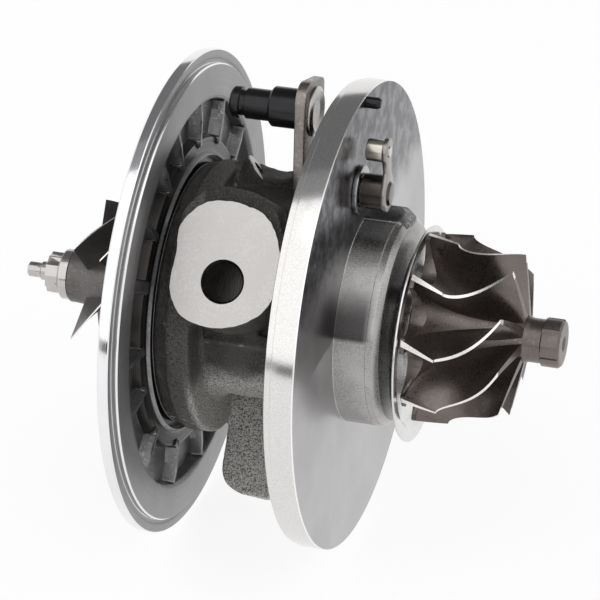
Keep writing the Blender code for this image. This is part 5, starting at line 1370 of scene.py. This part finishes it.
def blade(root, tip, angle_at, thickness_at, start=0.0, chord_steps=36, bright_start=False):
    """A closed blade lofted from its root line to its tip line. Its outer edges are surface 1."""
    span_steps = 10
    bm = bmesh.new()
    sides = []
    for side in (-0.5, 0.5):
        rows = []
        for i in range(chord_steps + 1):
            chord = start + (1 - start) * i / chord_steps
            x_root, r_root = along_line(root, chord)
            x_tip, r_tip = along_line(tip, chord)
            row = []
            for j in range(span_steps + 1):
                span = (j / span_steps) ** 1.25
                x = x_root + (x_tip - x_root) * span
                radius = r_root + (r_tip - r_root) * span
                angle = angle_at(chord, span) + side * thickness_at(chord, span) / radius
                row.append(bm.verts.new(around(radius, angle, x)))
            rows.append(row)
        sides.append(rows)
    for rows in sides:
        for i in range(chord_steps):
            for j in range(span_steps):
                bm.faces.new((rows[i][j], rows[i + 1][j], rows[i + 1][j + 1], rows[i][j + 1]))
    first, second = sides
    edge = [(i, 0) for i in range(chord_steps + 1)]
    edge += [(chord_steps, j) for j in range(1, span_steps + 1)]
    edge += [(i, span_steps) for i in range(chord_steps - 1, -1, -1)]
    edge += [(0, j) for j in range(span_steps - 1, 0, -1)]
    for (i, j), (k, m) in zip(edge, edge[1:] + edge[:1]):
        face = bm.faces.new((first[i][j], first[k][m], second[k][m], second[i][j]))
        if j == span_steps or m == span_steps or (bright_start and i == 0 and k == 0):
            face.material_index = 1
    bmesh.ops.recalc_face_normals(bm, faces=bm.faces)
    return bm


def spun(bm, count, offset=0.0):
    """Copies of a shape, spread evenly round the shaft."""
    mesh = bpy.data.meshes.new("copy")
    bm.to_mesh(mesh)
    bm.free()
    whole = bmesh.new()
    for i in range(count):
        start = len(whole.verts)
        whole.from_mesh(mesh)
        whole.verts.ensure_lookup_table()
        turn = Matrix.Rotation(2 * math.pi * i / count + offset, 4, "X")
        bmesh.ops.transform(whole, matrix=turn, verts=whole.verts[start:])
    bpy.data.meshes.remove(mesh)
    return whole


def turbine_wheel():
    hub = quarter(
        (TURBINE_BACK_X + TURBINE_ROOT_LENGTH, TURBINE_HUB_RADIUS),
        (TURBINE_BACK_X + TURBINE_DISC_RIM, TURBINE_RADIUS - RIM_STEP),
    )
    collar_x = TURBINE_END_X - TURBINE_COLLAR_LENGTH
    profile = [
        (TURBINE_END_X - TURBINE_END_CHAMFER, 0.0),
        (TURBINE_END_X - 0.0004, 0.0016),
        (TURBINE_END_X, TURBINE_CENTRE_RADIUS),
        (TURBINE_END_X, TURBINE_COLLAR_RADIUS - TURBINE_END_CHAMFER),
        (TURBINE_END_X - TURBINE_END_CHAMFER, TURBINE_COLLAR_RADIUS),
        (collar_x, TURBINE_COLLAR_RADIUS),
        (collar_x - SEAT_GAP, TURBINE_NECK_RADIUS),
        (TURBINE_BACK_X + TURBINE_ROOT_LENGTH + OVERLAP, TURBINE_NECK_RADIUS),
        *hub,
        (TURBINE_BACK_X, TURBINE_RADIUS - RIM_STEP),
        (TURBINE_BACK_X, SEAL_HUB_RADIUS),
        (WELD_X, SEAL_HUB_RADIUS),
        (WELD_X, 0.0),
    ]
    body = lathed(profile, 20 * TURBINE_BLADES, edge=0.0001)
    wheel = clad("turbine_wheel_cast", body, TURBINE_CAST, GROUND_EDGE)
    boolean(wheel, "DIFFERENCE", [turbine_scallops(), turbine_notches()])
    boolean(wheel, "UNION", [turbine_blades(hub)])
    return dress(wheel, "rotor", "turbine_alloy", replaces=("turbine_wheel",))


def turbine_scallops():
    """The bites taken out of the back disc between the blades."""
    pitch = 2 * math.pi / TURBINE_BLADES
    angle = TURBINE_PHASE + TURBINE_LEAN / 4 + pitch / 2
    bm = rod(
        (TURBINE_BACK_X - OVERLAP, 0.0, 0.0),
        (TURBINE_BACK_X + TURBINE_DISC_RIM + 0.0035, 0.0, 0.0),
        radius=1.0,
        steps=40,
    )
    stretch = Matrix.Diagonal((1.0, SCALLOP_WIDTH / 2, SCALLOP_DEPTH, 1.0))
    turn = Matrix.Rotation(angle - math.pi / 2, 4, "X")
    bm.transform(turn @ Matrix.Translation((0.0, 0.0, TURBINE_RADIUS)) @ stretch)
    return spun(bm, TURBINE_BLADES)


def turbine_notches():
    low = (
        TURBINE_END_X - TURBINE_COLLAR_LENGTH - SEAT_GAP,
        -TURBINE_NOTCH_WIDTH / 2,
        TURBINE_COLLAR_RADIUS - TURBINE_NOTCH_DEPTH,
    )
    high = (TURBINE_END_X + OVERLAP, TURBINE_NOTCH_WIDTH / 2, TURBINE_COLLAR_RADIUS + OVERLAP)
    return spun(block(low, high), TURBINE_NOTCHES, TURBINE_NOTCH_PHASE)


def turbine_blades(hub):
    back = TURBINE_BACK_X
    tip = quarter(
        (back + TURBINE_TIP_LENGTH, TURBINE_OUTLET_RADIUS),
        (back + TURBINE_INLET_WIDTH, TURBINE_RADIUS),
    )
    root = []
    for step, (x, radius) in enumerate(reversed(hub)):
        share = step / (len(hub) - 1)
        root.append((x - 0.8 * TURBINE_DISC_RIM * (1 - share), radius - OVERLAP * share))
    root[0] = (root[0][0], TURBINE_RADIUS)

    def angle_at(chord, span):
        wrap = TURBINE_HUB_WRAP + (TURBINE_WRAP - TURBINE_HUB_WRAP) * span
        return TURBINE_PHASE + TURBINE_LEAN * span - wrap * chord**TURBINE_WRAP_POWER

    def thickness_at(chord, span):
        lean = 1 + 0.6 * chord
        flare = TURBINE_ROOT_FLARE * max(0.0, 1 - span / TURBINE_FLARE_SPAN) ** 2
        flare = flare * min(1.0, 6 * chord) * min(1.0, 6 * (1 - chord))
        thinning = (TURBINE_TIP_THICKNESS - TURBINE_ROOT_THICKNESS) * span
        return lean * (TURBINE_ROOT_THICKNESS + thinning) + flare

    return spun(blade(root, tip[::-1], angle_at, thickness_at, bright_start=True), TURBINE_BLADES)


def compressor_wheel():
    profile = [
        (COMPRESSOR_BACK_X, COMPRESSOR_RADIUS),
        *quarter(
            (COMPRESSOR_BACK_X - COMPRESSOR_DISC_RIM, COMPRESSOR_RADIUS),
            (COMPRESSOR_NOSE_X, COMPRESSOR_NOSE_RADIUS),
            flat_at_start=False,
        ),
        (COMPRESSOR_NOSE_X, STUD_RADIUS + SEAT_GAP),
        (COMPRESSOR_BACK_X, STUD_RADIUS + SEAT_GAP),
    ]
    hub = lathed(profile, 36 * COMPRESSOR_BLADES, edge=0.0001)
    wheel = clad("compressor_wheel_cast", hub, WHEEL_ALLOY, GROUND_EDGE)
    boolean(wheel, "UNION", list(compressor_blades()))
    return dress(wheel, "rotor", "wheel_aluminium", replaces=("compressor_wheel",))


def compressor_blades():
    """Full blades, and between them the splitters that start further in."""
    eye_x = COMPRESSOR_NOSE_X + COMPRESSOR_EYE_SETBACK
    rim_x = COMPRESSOR_BACK_X - COMPRESSOR_DISC_RIM
    setback_share = COMPRESSOR_EYE_SETBACK / (rim_x - COMPRESSOR_NOSE_X)
    hub_rise = (COMPRESSOR_RADIUS - COMPRESSOR_NOSE_RADIUS) * math.sqrt(1 - setback_share**2)
    hub_at_eye = COMPRESSOR_RADIUS - hub_rise
    outlet_radius = COMPRESSOR_RADIUS - RIM_STEP
    tip_end = (rim_x - COMPRESSOR_OUTLET_WIDTH, outlet_radius)
    root_end = (rim_x + COMPRESSOR_DISC_RIM / 2, outlet_radius)
    tip = quarter((eye_x, COMPRESSOR_EYE_RADIUS), tip_end)
    root = quarter((eye_x, hub_at_eye - OVERLAP), root_end)

    def angle_at(chord, span):
        return COMPRESSOR_PHASE - COMPRESSOR_WRAP * (1 - (1 - chord) ** COMPRESSOR_WRAP_POWER)

    def thickness_at(chord, span):
        thinning = (COMPRESSOR_TIP_THICKNESS - COMPRESSOR_ROOT_THICKNESS) * span
        return COMPRESSOR_ROOT_THICKNESS + thinning

    def splitter_angle(chord, span):
        return angle_at(chord, span) + math.pi / COMPRESSOR_BLADES

    full = blade(root, tip, angle_at, thickness_at)
    splitter = blade(root, tip, splitter_angle, thickness_at, COMPRESSOR_SPLITTER_START, 26)
    return spun(full, COMPRESSOR_BLADES), spun(splitter, COMPRESSOR_BLADES)


def shaft_nut():
    flange_end = NUT_X - NUT_FLANGE_LENGTH
    profile = [
        (NUT_X, 0.0),
        (NUT_X, NUT_FLANGE_RADIUS),
        (flange_end + NUT_FLANGE_LIP, NUT_FLANGE_RADIUS),
        (flange_end, NUT_FLANGE_RADIUS - NUT_FLANGE_SLOPE),
        (flange_end, 0.0),
    ]
    nut = mesh_object("shaft_nut_turned", lathed(profile, 96, edge=0.0002))
    outline = []
    for corner in range(2 * NUT_LOBES):
        radius = NUT_RADIUS if corner % 2 else NUT_RADIUS * NUT_ROOT_SHARE
        turn = math.pi * corner / NUT_LOBES
        outline.append((radius * math.cos(turn), radius * math.sin(turn)))
    lobes = bevelled(prism(outline, NUT_END_X, flange_end + 0.0005, across()), 0.0002)
    boolean(nut, "UNION", [lobes])
    bore = rod((NUT_X + OVERLAP, 0, 0), (NUT_END_X - OVERLAP, 0, 0), STUD_RADIUS + SEAT_GAP)
    boolean(nut, "DIFFERENCE", [bore])
    return dress(nut, "rotor", "shaft_steel", (BRIGHT_STEEL,), replaces=("shaft_nut",))


def shaft_end():
    """The threaded end of the shaft and the stub that it is ground on."""
    profile = [(NUT_X + 0.002, 0.0), (NUT_X + 0.002, STUD_RADIUS - THREAD_CLEARANCE)]
    x = NUT_END_X + 0.001
    profile.append((x, STUD_RADIUS - THREAD_CLEARANCE))
    while x > THREAD_END_X + 0.0004:
        profile.append((x, STUD_RADIUS - THREAD_DEPTH))
        profile.append((x - THREAD_PITCH / 2, STUD_RADIUS))
        x -= THREAD_PITCH
    profile += [
        (THREAD_END_X, STUB_RADIUS - 0.0003),
        (THREAD_END_X - 0.0005, STUB_RADIUS - 0.0003),
        (THREAD_END_X - 0.0007, STUB_RADIUS),
        (SHAFT_END_X + 0.0004, STUB_RADIUS),
        (SHAFT_END_X, STUB_RADIUS - 0.0005),
        (SHAFT_END_X, 0.0),
    ]
    wearing = ("rotor", "shaft_steel", (BRIGHT_STEEL,))
    return turned_piece("shaft_thread_end", profile, 72, 0.00005, wearing)


def heat_shield():
    front = SHIELD_FRONT_X
    floor = front - SHIELD_DISH
    thick = SHIELD_THICKNESS * 0.75
    slant = SHIELD_DISH_RADIUS + SHIELD_DISH
    profile = [
        (front, SHIELD_RADIUS),
        (front - thick, SHIELD_RADIUS),
        (front - thick, slant + 0.0003),
        (floor - thick, SHIELD_DISH_RADIUS + 0.0003),
        (floor - thick, SHIELD_BORE),
        (floor, SHIELD_BORE),
        (floor, SHIELD_DISH_RADIUS),
        (front, slant),
    ]
    wearing = ("housing", "heat_shield_steel", (SHIELD_STEEL,))
    return turned_piece(
        "heat_shield_pressed", profile, BODY_STEPS, 0.0004, wearing,
        centre=(0.0, -SHIELD_SAG), replaces=("heat_shield",),
    )


# ---- lever side


def lever_bush():
    front = SEAT_GAP + BUSH_COLLAR_THICKNESS
    back = -FLANGE_THICKNESS - BUSH_PROUD
    profile = stairs(front, BUSH_COLLAR_RADIUS, 0.0, BUSH_RADIUS, back, BUSH_BORE, front)
    wearing = ("housing", "shaft_steel", (BUSH_STEEL,))
    return turned_piece(
        "lever_bush_turned", profile, 96, 0.0003, wearing, centre=PIVOT.yz, replaces=("lever_bush",)
    )


def locating_dowel():
    centre = around(DOWEL_CIRCLE, DOWEL_ANGLE)
    back, inward = DOWEL_CHAMFER
    profile = [
        (DOWEL_PROUD, 0.0),
        (DOWEL_PROUD, DOWEL_RADIUS - inward),
        *stairs(DOWEL_PROUD - back, DOWEL_RADIUS, SEAT_GAP - DOWEL_DEPTH, 0.0),
    ]
    wearing = ("housing", "blackened_steel", (BLACK_OXIDE,))
    return turned_piece(
        "locating_dowel_turned", profile, 48, 0.00015, wearing,
        centre=centre.yz, replaces=("locating_dowel",),
    )


def lever_shaft():
    front = CRANK_FRONT_X + LEVER_SHAFT_PROUD
    back = LEVER_X - LEVER_THICKNESS - LEVER_SHAFT_PROUD
    profile = [
        (front, 0.0),
        (front, LEVER_SHAFT_RADIUS - 0.0006),
        (front - LEVER_SHAFT_CHAMFER, LEVER_SHAFT_RADIUS),
        (back + LEVER_SHAFT_CHAMFER, LEVER_SHAFT_RADIUS),
        (back, LEVER_SHAFT_RADIUS - 0.0006),
        (back, 0.0),
    ]
    wearing = ("lever", "lever_steel", (CRANK_STEEL,))
    return turned_piece(
        "lever_shaft_turned", profile, 64, 0.0002, wearing,
        centre=PIVOT.yz, replaces=("lever_shaft",),
    )


def actuator_lever():
    """The plate between the two flanges, round below and uneven on top."""
    half = LEVER_HALF_WIDTH
    corners = [
        (-half, 0.0, 0.0),
        (-half, LEVER_TOP, LEVER_NEAR_CORNER),
        (half, LEVER_TOP - LEVER_TOP_FALL, LEVER_FAR_CORNER),
        (half, 0.0, 0.0),
    ]
    outline = rounded(corners)
    for step in range(1, 24):
        turn = -math.pi * step / 24
        outline.append((half * math.cos(turn), half * math.sin(turn)))
    frame = Matrix.Translation(PIVOT) @ across(LEVER_LEAN)
    back = LEVER_X - LEVER_THICKNESS
    lever = mesh_object("actuator_lever_plate", prism(outline, back, LEVER_X, frame))
    edge_bevel(lever, 0.0003, 3)
    return dress(lever, "lever", "lever_steel", (LEVER_STEEL,), replaces=("actuator_lever",))


def actuator_pin():
    head = LEVER_X
    base = LEVER_X - LEVER_THICKNESS
    shoulder = base - PIN_BASE_LENGTH
    groove = shoulder - PIN_LENGTH
    tip = groove - PIN_GROOVE_LENGTH
    end = tip - PIN_TIP_LENGTH
    profile = [
        (head + PIN_HEAD_HEIGHT - PIN_HEAD_DISH, 0.0, 1),
        (head + PIN_HEAD_HEIGHT - PIN_HEAD_DISH, PIN_SHANK_RADIUS, 1),
        (head + PIN_HEAD_HEIGHT, PIN_HEAD_RADIUS - 2 * PIN_HEAD_DISH, 1),
        (head + PIN_HEAD_DISH, PIN_HEAD_RADIUS, 1),
        (head, PIN_HEAD_RADIUS, 1),
        (head, PIN_SHANK_RADIUS, 0),
        (base, PIN_SHANK_RADIUS, 0),
        (base, PIN_BASE_RADIUS, 0),
        (shoulder + PIN_TIP_CHAMFER, PIN_BASE_RADIUS, 0),
        (shoulder, PIN_BASE_RADIUS - PIN_TIP_CHAMFER, 0),
        (shoulder, PIN_RADIUS, 0),
        (groove, PIN_RADIUS, 0),
        (groove, PIN_GROOVE_RADIUS, 0),
        (tip, PIN_GROOVE_RADIUS, 0),
        (tip, PIN_TIP_RADIUS, 0),
        (end + PIN_TIP_CHAMFER, PIN_TIP_RADIUS, 0),
        (end, PIN_TIP_RADIUS - PIN_TIP_CHAMFER, 0),
        (end, 0.0, 0),
    ]
    centre = PIVOT + across(LEVER_LEAN) @ Vector((0.0, LEVER_PIN_REACH, 0.0))
    wearing = ("lever", "blackened_steel", (BLACK_OXIDE, RIVET_STEEL))
    return turned_piece(
        "actuator_pin_turned", profile, 96, 0.00025, wearing,
        centre=centre.yz, replaces=("actuator_pin",),
    )


def waisted_outline(first_radius, second_radius, reach, waist, steps=24):
    """Two discs, the second this far along +Y, joined by a neck this wide to each side."""
    neck = (reach + first_radius - second_radius) / 2
    outline = []
    for centre_y, radius, start, end, side in (
        (reach, second_radius, -NECK_ANGLE, math.pi + NECK_ANGLE, -1),
        (0.0, first_radius, math.pi - NECK_ANGLE, 2 * math.pi + NECK_ANGLE, 1),
    ):
        for step in range(steps + 1):
            turn = start + (end - start) * step / steps
            outline.append((radius * math.cos(turn), centre_y + radius * math.sin(turn)))
        outline.append((side * waist, neck))
    return outline


def crank_arm():
    frame = Matrix.Translation(PIVOT) @ across(CRANK_LEAN)
    outline = waisted_outline(CRANK_HUB_RADIUS, CRANK_TIP_RADIUS, CRANK_REACH, CRANK_WAIST)
    arm = mesh_object("crank_arm_plate", prism(outline, CRANK_BACK_X, CRANK_FRONT_X, frame))
    edge_bevel(arm, 0.00025, 2)
    hub_end = PIVOT + ALONG * (CRANK_BACK_X + 0.0005)
    hub = rod(PIVOT + ALONG * CRANK_HUB_START_X, hub_end, CRANK_HUB_RADIUS - SEAT_GAP)
    arm.data.materials.append(ARM_STEEL)
    boolean(arm, "UNION", [(hub, CRANK_STEEL)])
    return dress(arm, "lever", "lever_steel", replaces=("crank_arm",))


def crank_pin():
    seat = CRANK_BACK_X
    head = CRANK_FRONT_X + CRANK_PIN_PROUD
    end = seat - CRANK_PIN_LENGTH
    steps = stairs(head, CRANK_PIN_SHANK_RADIUS, seat, CRANK_PIN_RADIUS, end, 0.0)
    profile = [(head, 0.0), *steps]
    centre = PIVOT + across(CRANK_LEAN) @ Vector((0.0, CRANK_REACH, 0.0))
    wearing = ("lever", "lever_steel", (PIN_STEEL,))
    return turned_piece(
        "crank_pin_turned", profile, 48, 0.0002, wearing, centre=centre.yz, replaces=("crank_pin",)
    )


def inner_nodes():
    """Finishes for the solids that stay as they are, mostly out of sight."""
    finishes = {
        BRIGHT_STEEL: (
            "rotor_shaft thrust_collar seal_sleeve turbine_seal_ring compressor_seal_ring"
            " circlip_turbine circlip_compressor bearing_spacer oil_deflector"
            " backplate_bolt_1 backplate_bolt_2 backplate_bolt_3 backplate_bolt_4"
        ),
        BRONZE: "journal_bearing_turbine journal_bearing_compressor thrust_bearing",
        RUBBER: "backplate_o_ring",
    }
    for material, names in finishes.items():
        for name in names.split():
            data = frame["nodes"][name].data
            data.materials.clear()
            data.materials.append(material)


# ---- studio


def studio():
    """White surroundings that the camera and the metal see, and a quieter light on the object."""
    scene = bpy.context.scene
    scene.view_settings.view_transform = "Standard"
    world = bpy.data.worlds.new("studio")
    scene.world = world
    world.use_nodes = True
    tree = world.node_tree
    tree.nodes.clear()
    out = tree.nodes.new("ShaderNodeOutputWorld")
    mix = tree.nodes.new("ShaderNodeMixShader")
    tree.links.new(seen_rays(tree), mix.inputs["Fac"])
    light = ((0.97, 0.98, 1.0, 1.0), WORLD_LIGHT)
    seen = ((1.0, 1.0, 1.0, 1.0), 1.0)
    for place, (colour, strength) in enumerate((light, seen), start=1):
        background = tree.nodes.new("ShaderNodeBackground")
        background.inputs["Color"].default_value = colour
        background.inputs["Strength"].default_value = strength
        tree.links.new(background.outputs[0], mix.inputs[place])
    tree.links.new(mix.outputs[0], out.inputs["Surface"])


def seen_rays(tree):
    """1 for the rays of the camera, of reflections and of glass."""
    path = tree.nodes.new("ShaderNodeLightPath")
    total = path.outputs["Is Camera Ray"]
    for label in ("Is Glossy Ray", "Is Transmission Ray"):
        node = tree.nodes.new("ShaderNodeMath")
        node.operation = "MAXIMUM"
        tree.links.new(total, node.inputs[0])
        tree.links.new(path.outputs[label], node.inputs[1])
        total = node.outputs[0]
    return total


def floor():
    """A white table that takes a soft shadow."""
    bm = bmesh.new()
    bmesh.ops.create_circle(bm, cap_ends=True, segments=96, radius=FLOOR_RADIUS)
    obj = mesh_object("floor", bm)
    obj.location = (0.0, 0.0, -FLOOR_DROP)
    table = Finish("pale floor", 0.8, 0.0)
    table.shader.inputs["Base Color"].default_value = (0.20, 0.20, 0.20, 1.0)
    glow = table.mixed(seen_rays(table.tree), (0.45, 0.45, 0.45), (0.86, 0.86, 0.86))
    table.tree.links.new(glow, table.shader.inputs["Emission Color"])
    table.shader.inputs["Emission Strength"].default_value = 1.0
    obj.data.materials.append(table.material)


def flag(name, start, end, tone):
    """A grey card bent round the object, from one angle above the table to another."""
    steps = 24
    bm = bmesh.new()
    rows = []
    for step in range(steps + 1):
        turn = math.radians(start + (end - start) * step / steps)
        y = -FLAG_DISTANCE * math.cos(turn)
        z = FLAG_DISTANCE * math.sin(turn)
        rows.append((bm.verts.new((-FLAG_REACH, y, z)), bm.verts.new((FLAG_REACH, y, z))))
    for first, second in zip(rows, rows[1:]):
        bm.faces.new((first[0], first[1], second[1], second[0]))
    obj = mesh_object(name, bm)
    obj.location = (0.0, 0.0, SHAFT.z)
    card = Finish(name, 1.0, 0.0)
    card.shader.inputs["Base Color"].default_value = (0.02, 0.02, 0.02, 1.0)
    card.shader.inputs["Emission Color"].default_value = (tone, tone, tone * 1.02, 1.0)
    card.shader.inputs["Emission Strength"].default_value = 1.0
    obj.data.materials.append(card.material)
    obj.visible_camera = False


def lamp(name, location, size, power):
    """A square soft lamp that faces the object."""
    data = bpy.data.lights.new(name, "AREA")
    data.shape = "SQUARE"
    data.size = size
    data.energy = power
    obj = bpy.data.objects.new(name, data)
    bpy.context.scene.collection.objects.link(obj)
    obj.location = location
    obj.rotation_mode = "QUATERNION"
    obj.rotation_quaternion = (LAMP_TARGET - Vector(location)).to_track_quat("-Z", "Y")


def camera():
    data = bpy.data.cameras.new("camera")
    data.lens = CAMERA_LENS
    data.sensor_width = 36.0
    data.clip_start = 0.05
    data.clip_end = 20.0
    obj = bpy.data.objects.new("camera", data)
    bpy.context.scene.collection.objects.link(obj)
    obj.location = CAMERA_PLACE + SHAFT
    obj.rotation_euler = (math.pi / 2 - CAMERA_PITCH, 0.0, CAMERA_HEADING)
    bpy.context.scene.camera = obj


bearing_housing()
lug_face()
turbine_flange()
compressor_backplate()
pocket_ring()
turbine_wheel()
compressor_wheel()
shaft_nut()
shaft_end()
heat_shield()
lever_bush()
locating_dowel()
lever_shaft()
actuator_lever()
actuator_pin()
crank_arm()
crank_pin()
inner_nodes()

studio()
floor()
flag("seam flag", -4.5, 1.0, 0.03)
flag("roof flag edge", 80.0, 96.0, 0.26)
flag("roof flag", 96.0, 158.0, 0.15)
lamp("side softbox", (-0.7, -0.9, 0.5), 2.8, 8.5)
lamp("top softbox", (0.5, -0.2, 1.1), 1.6, 3.0)
camera()
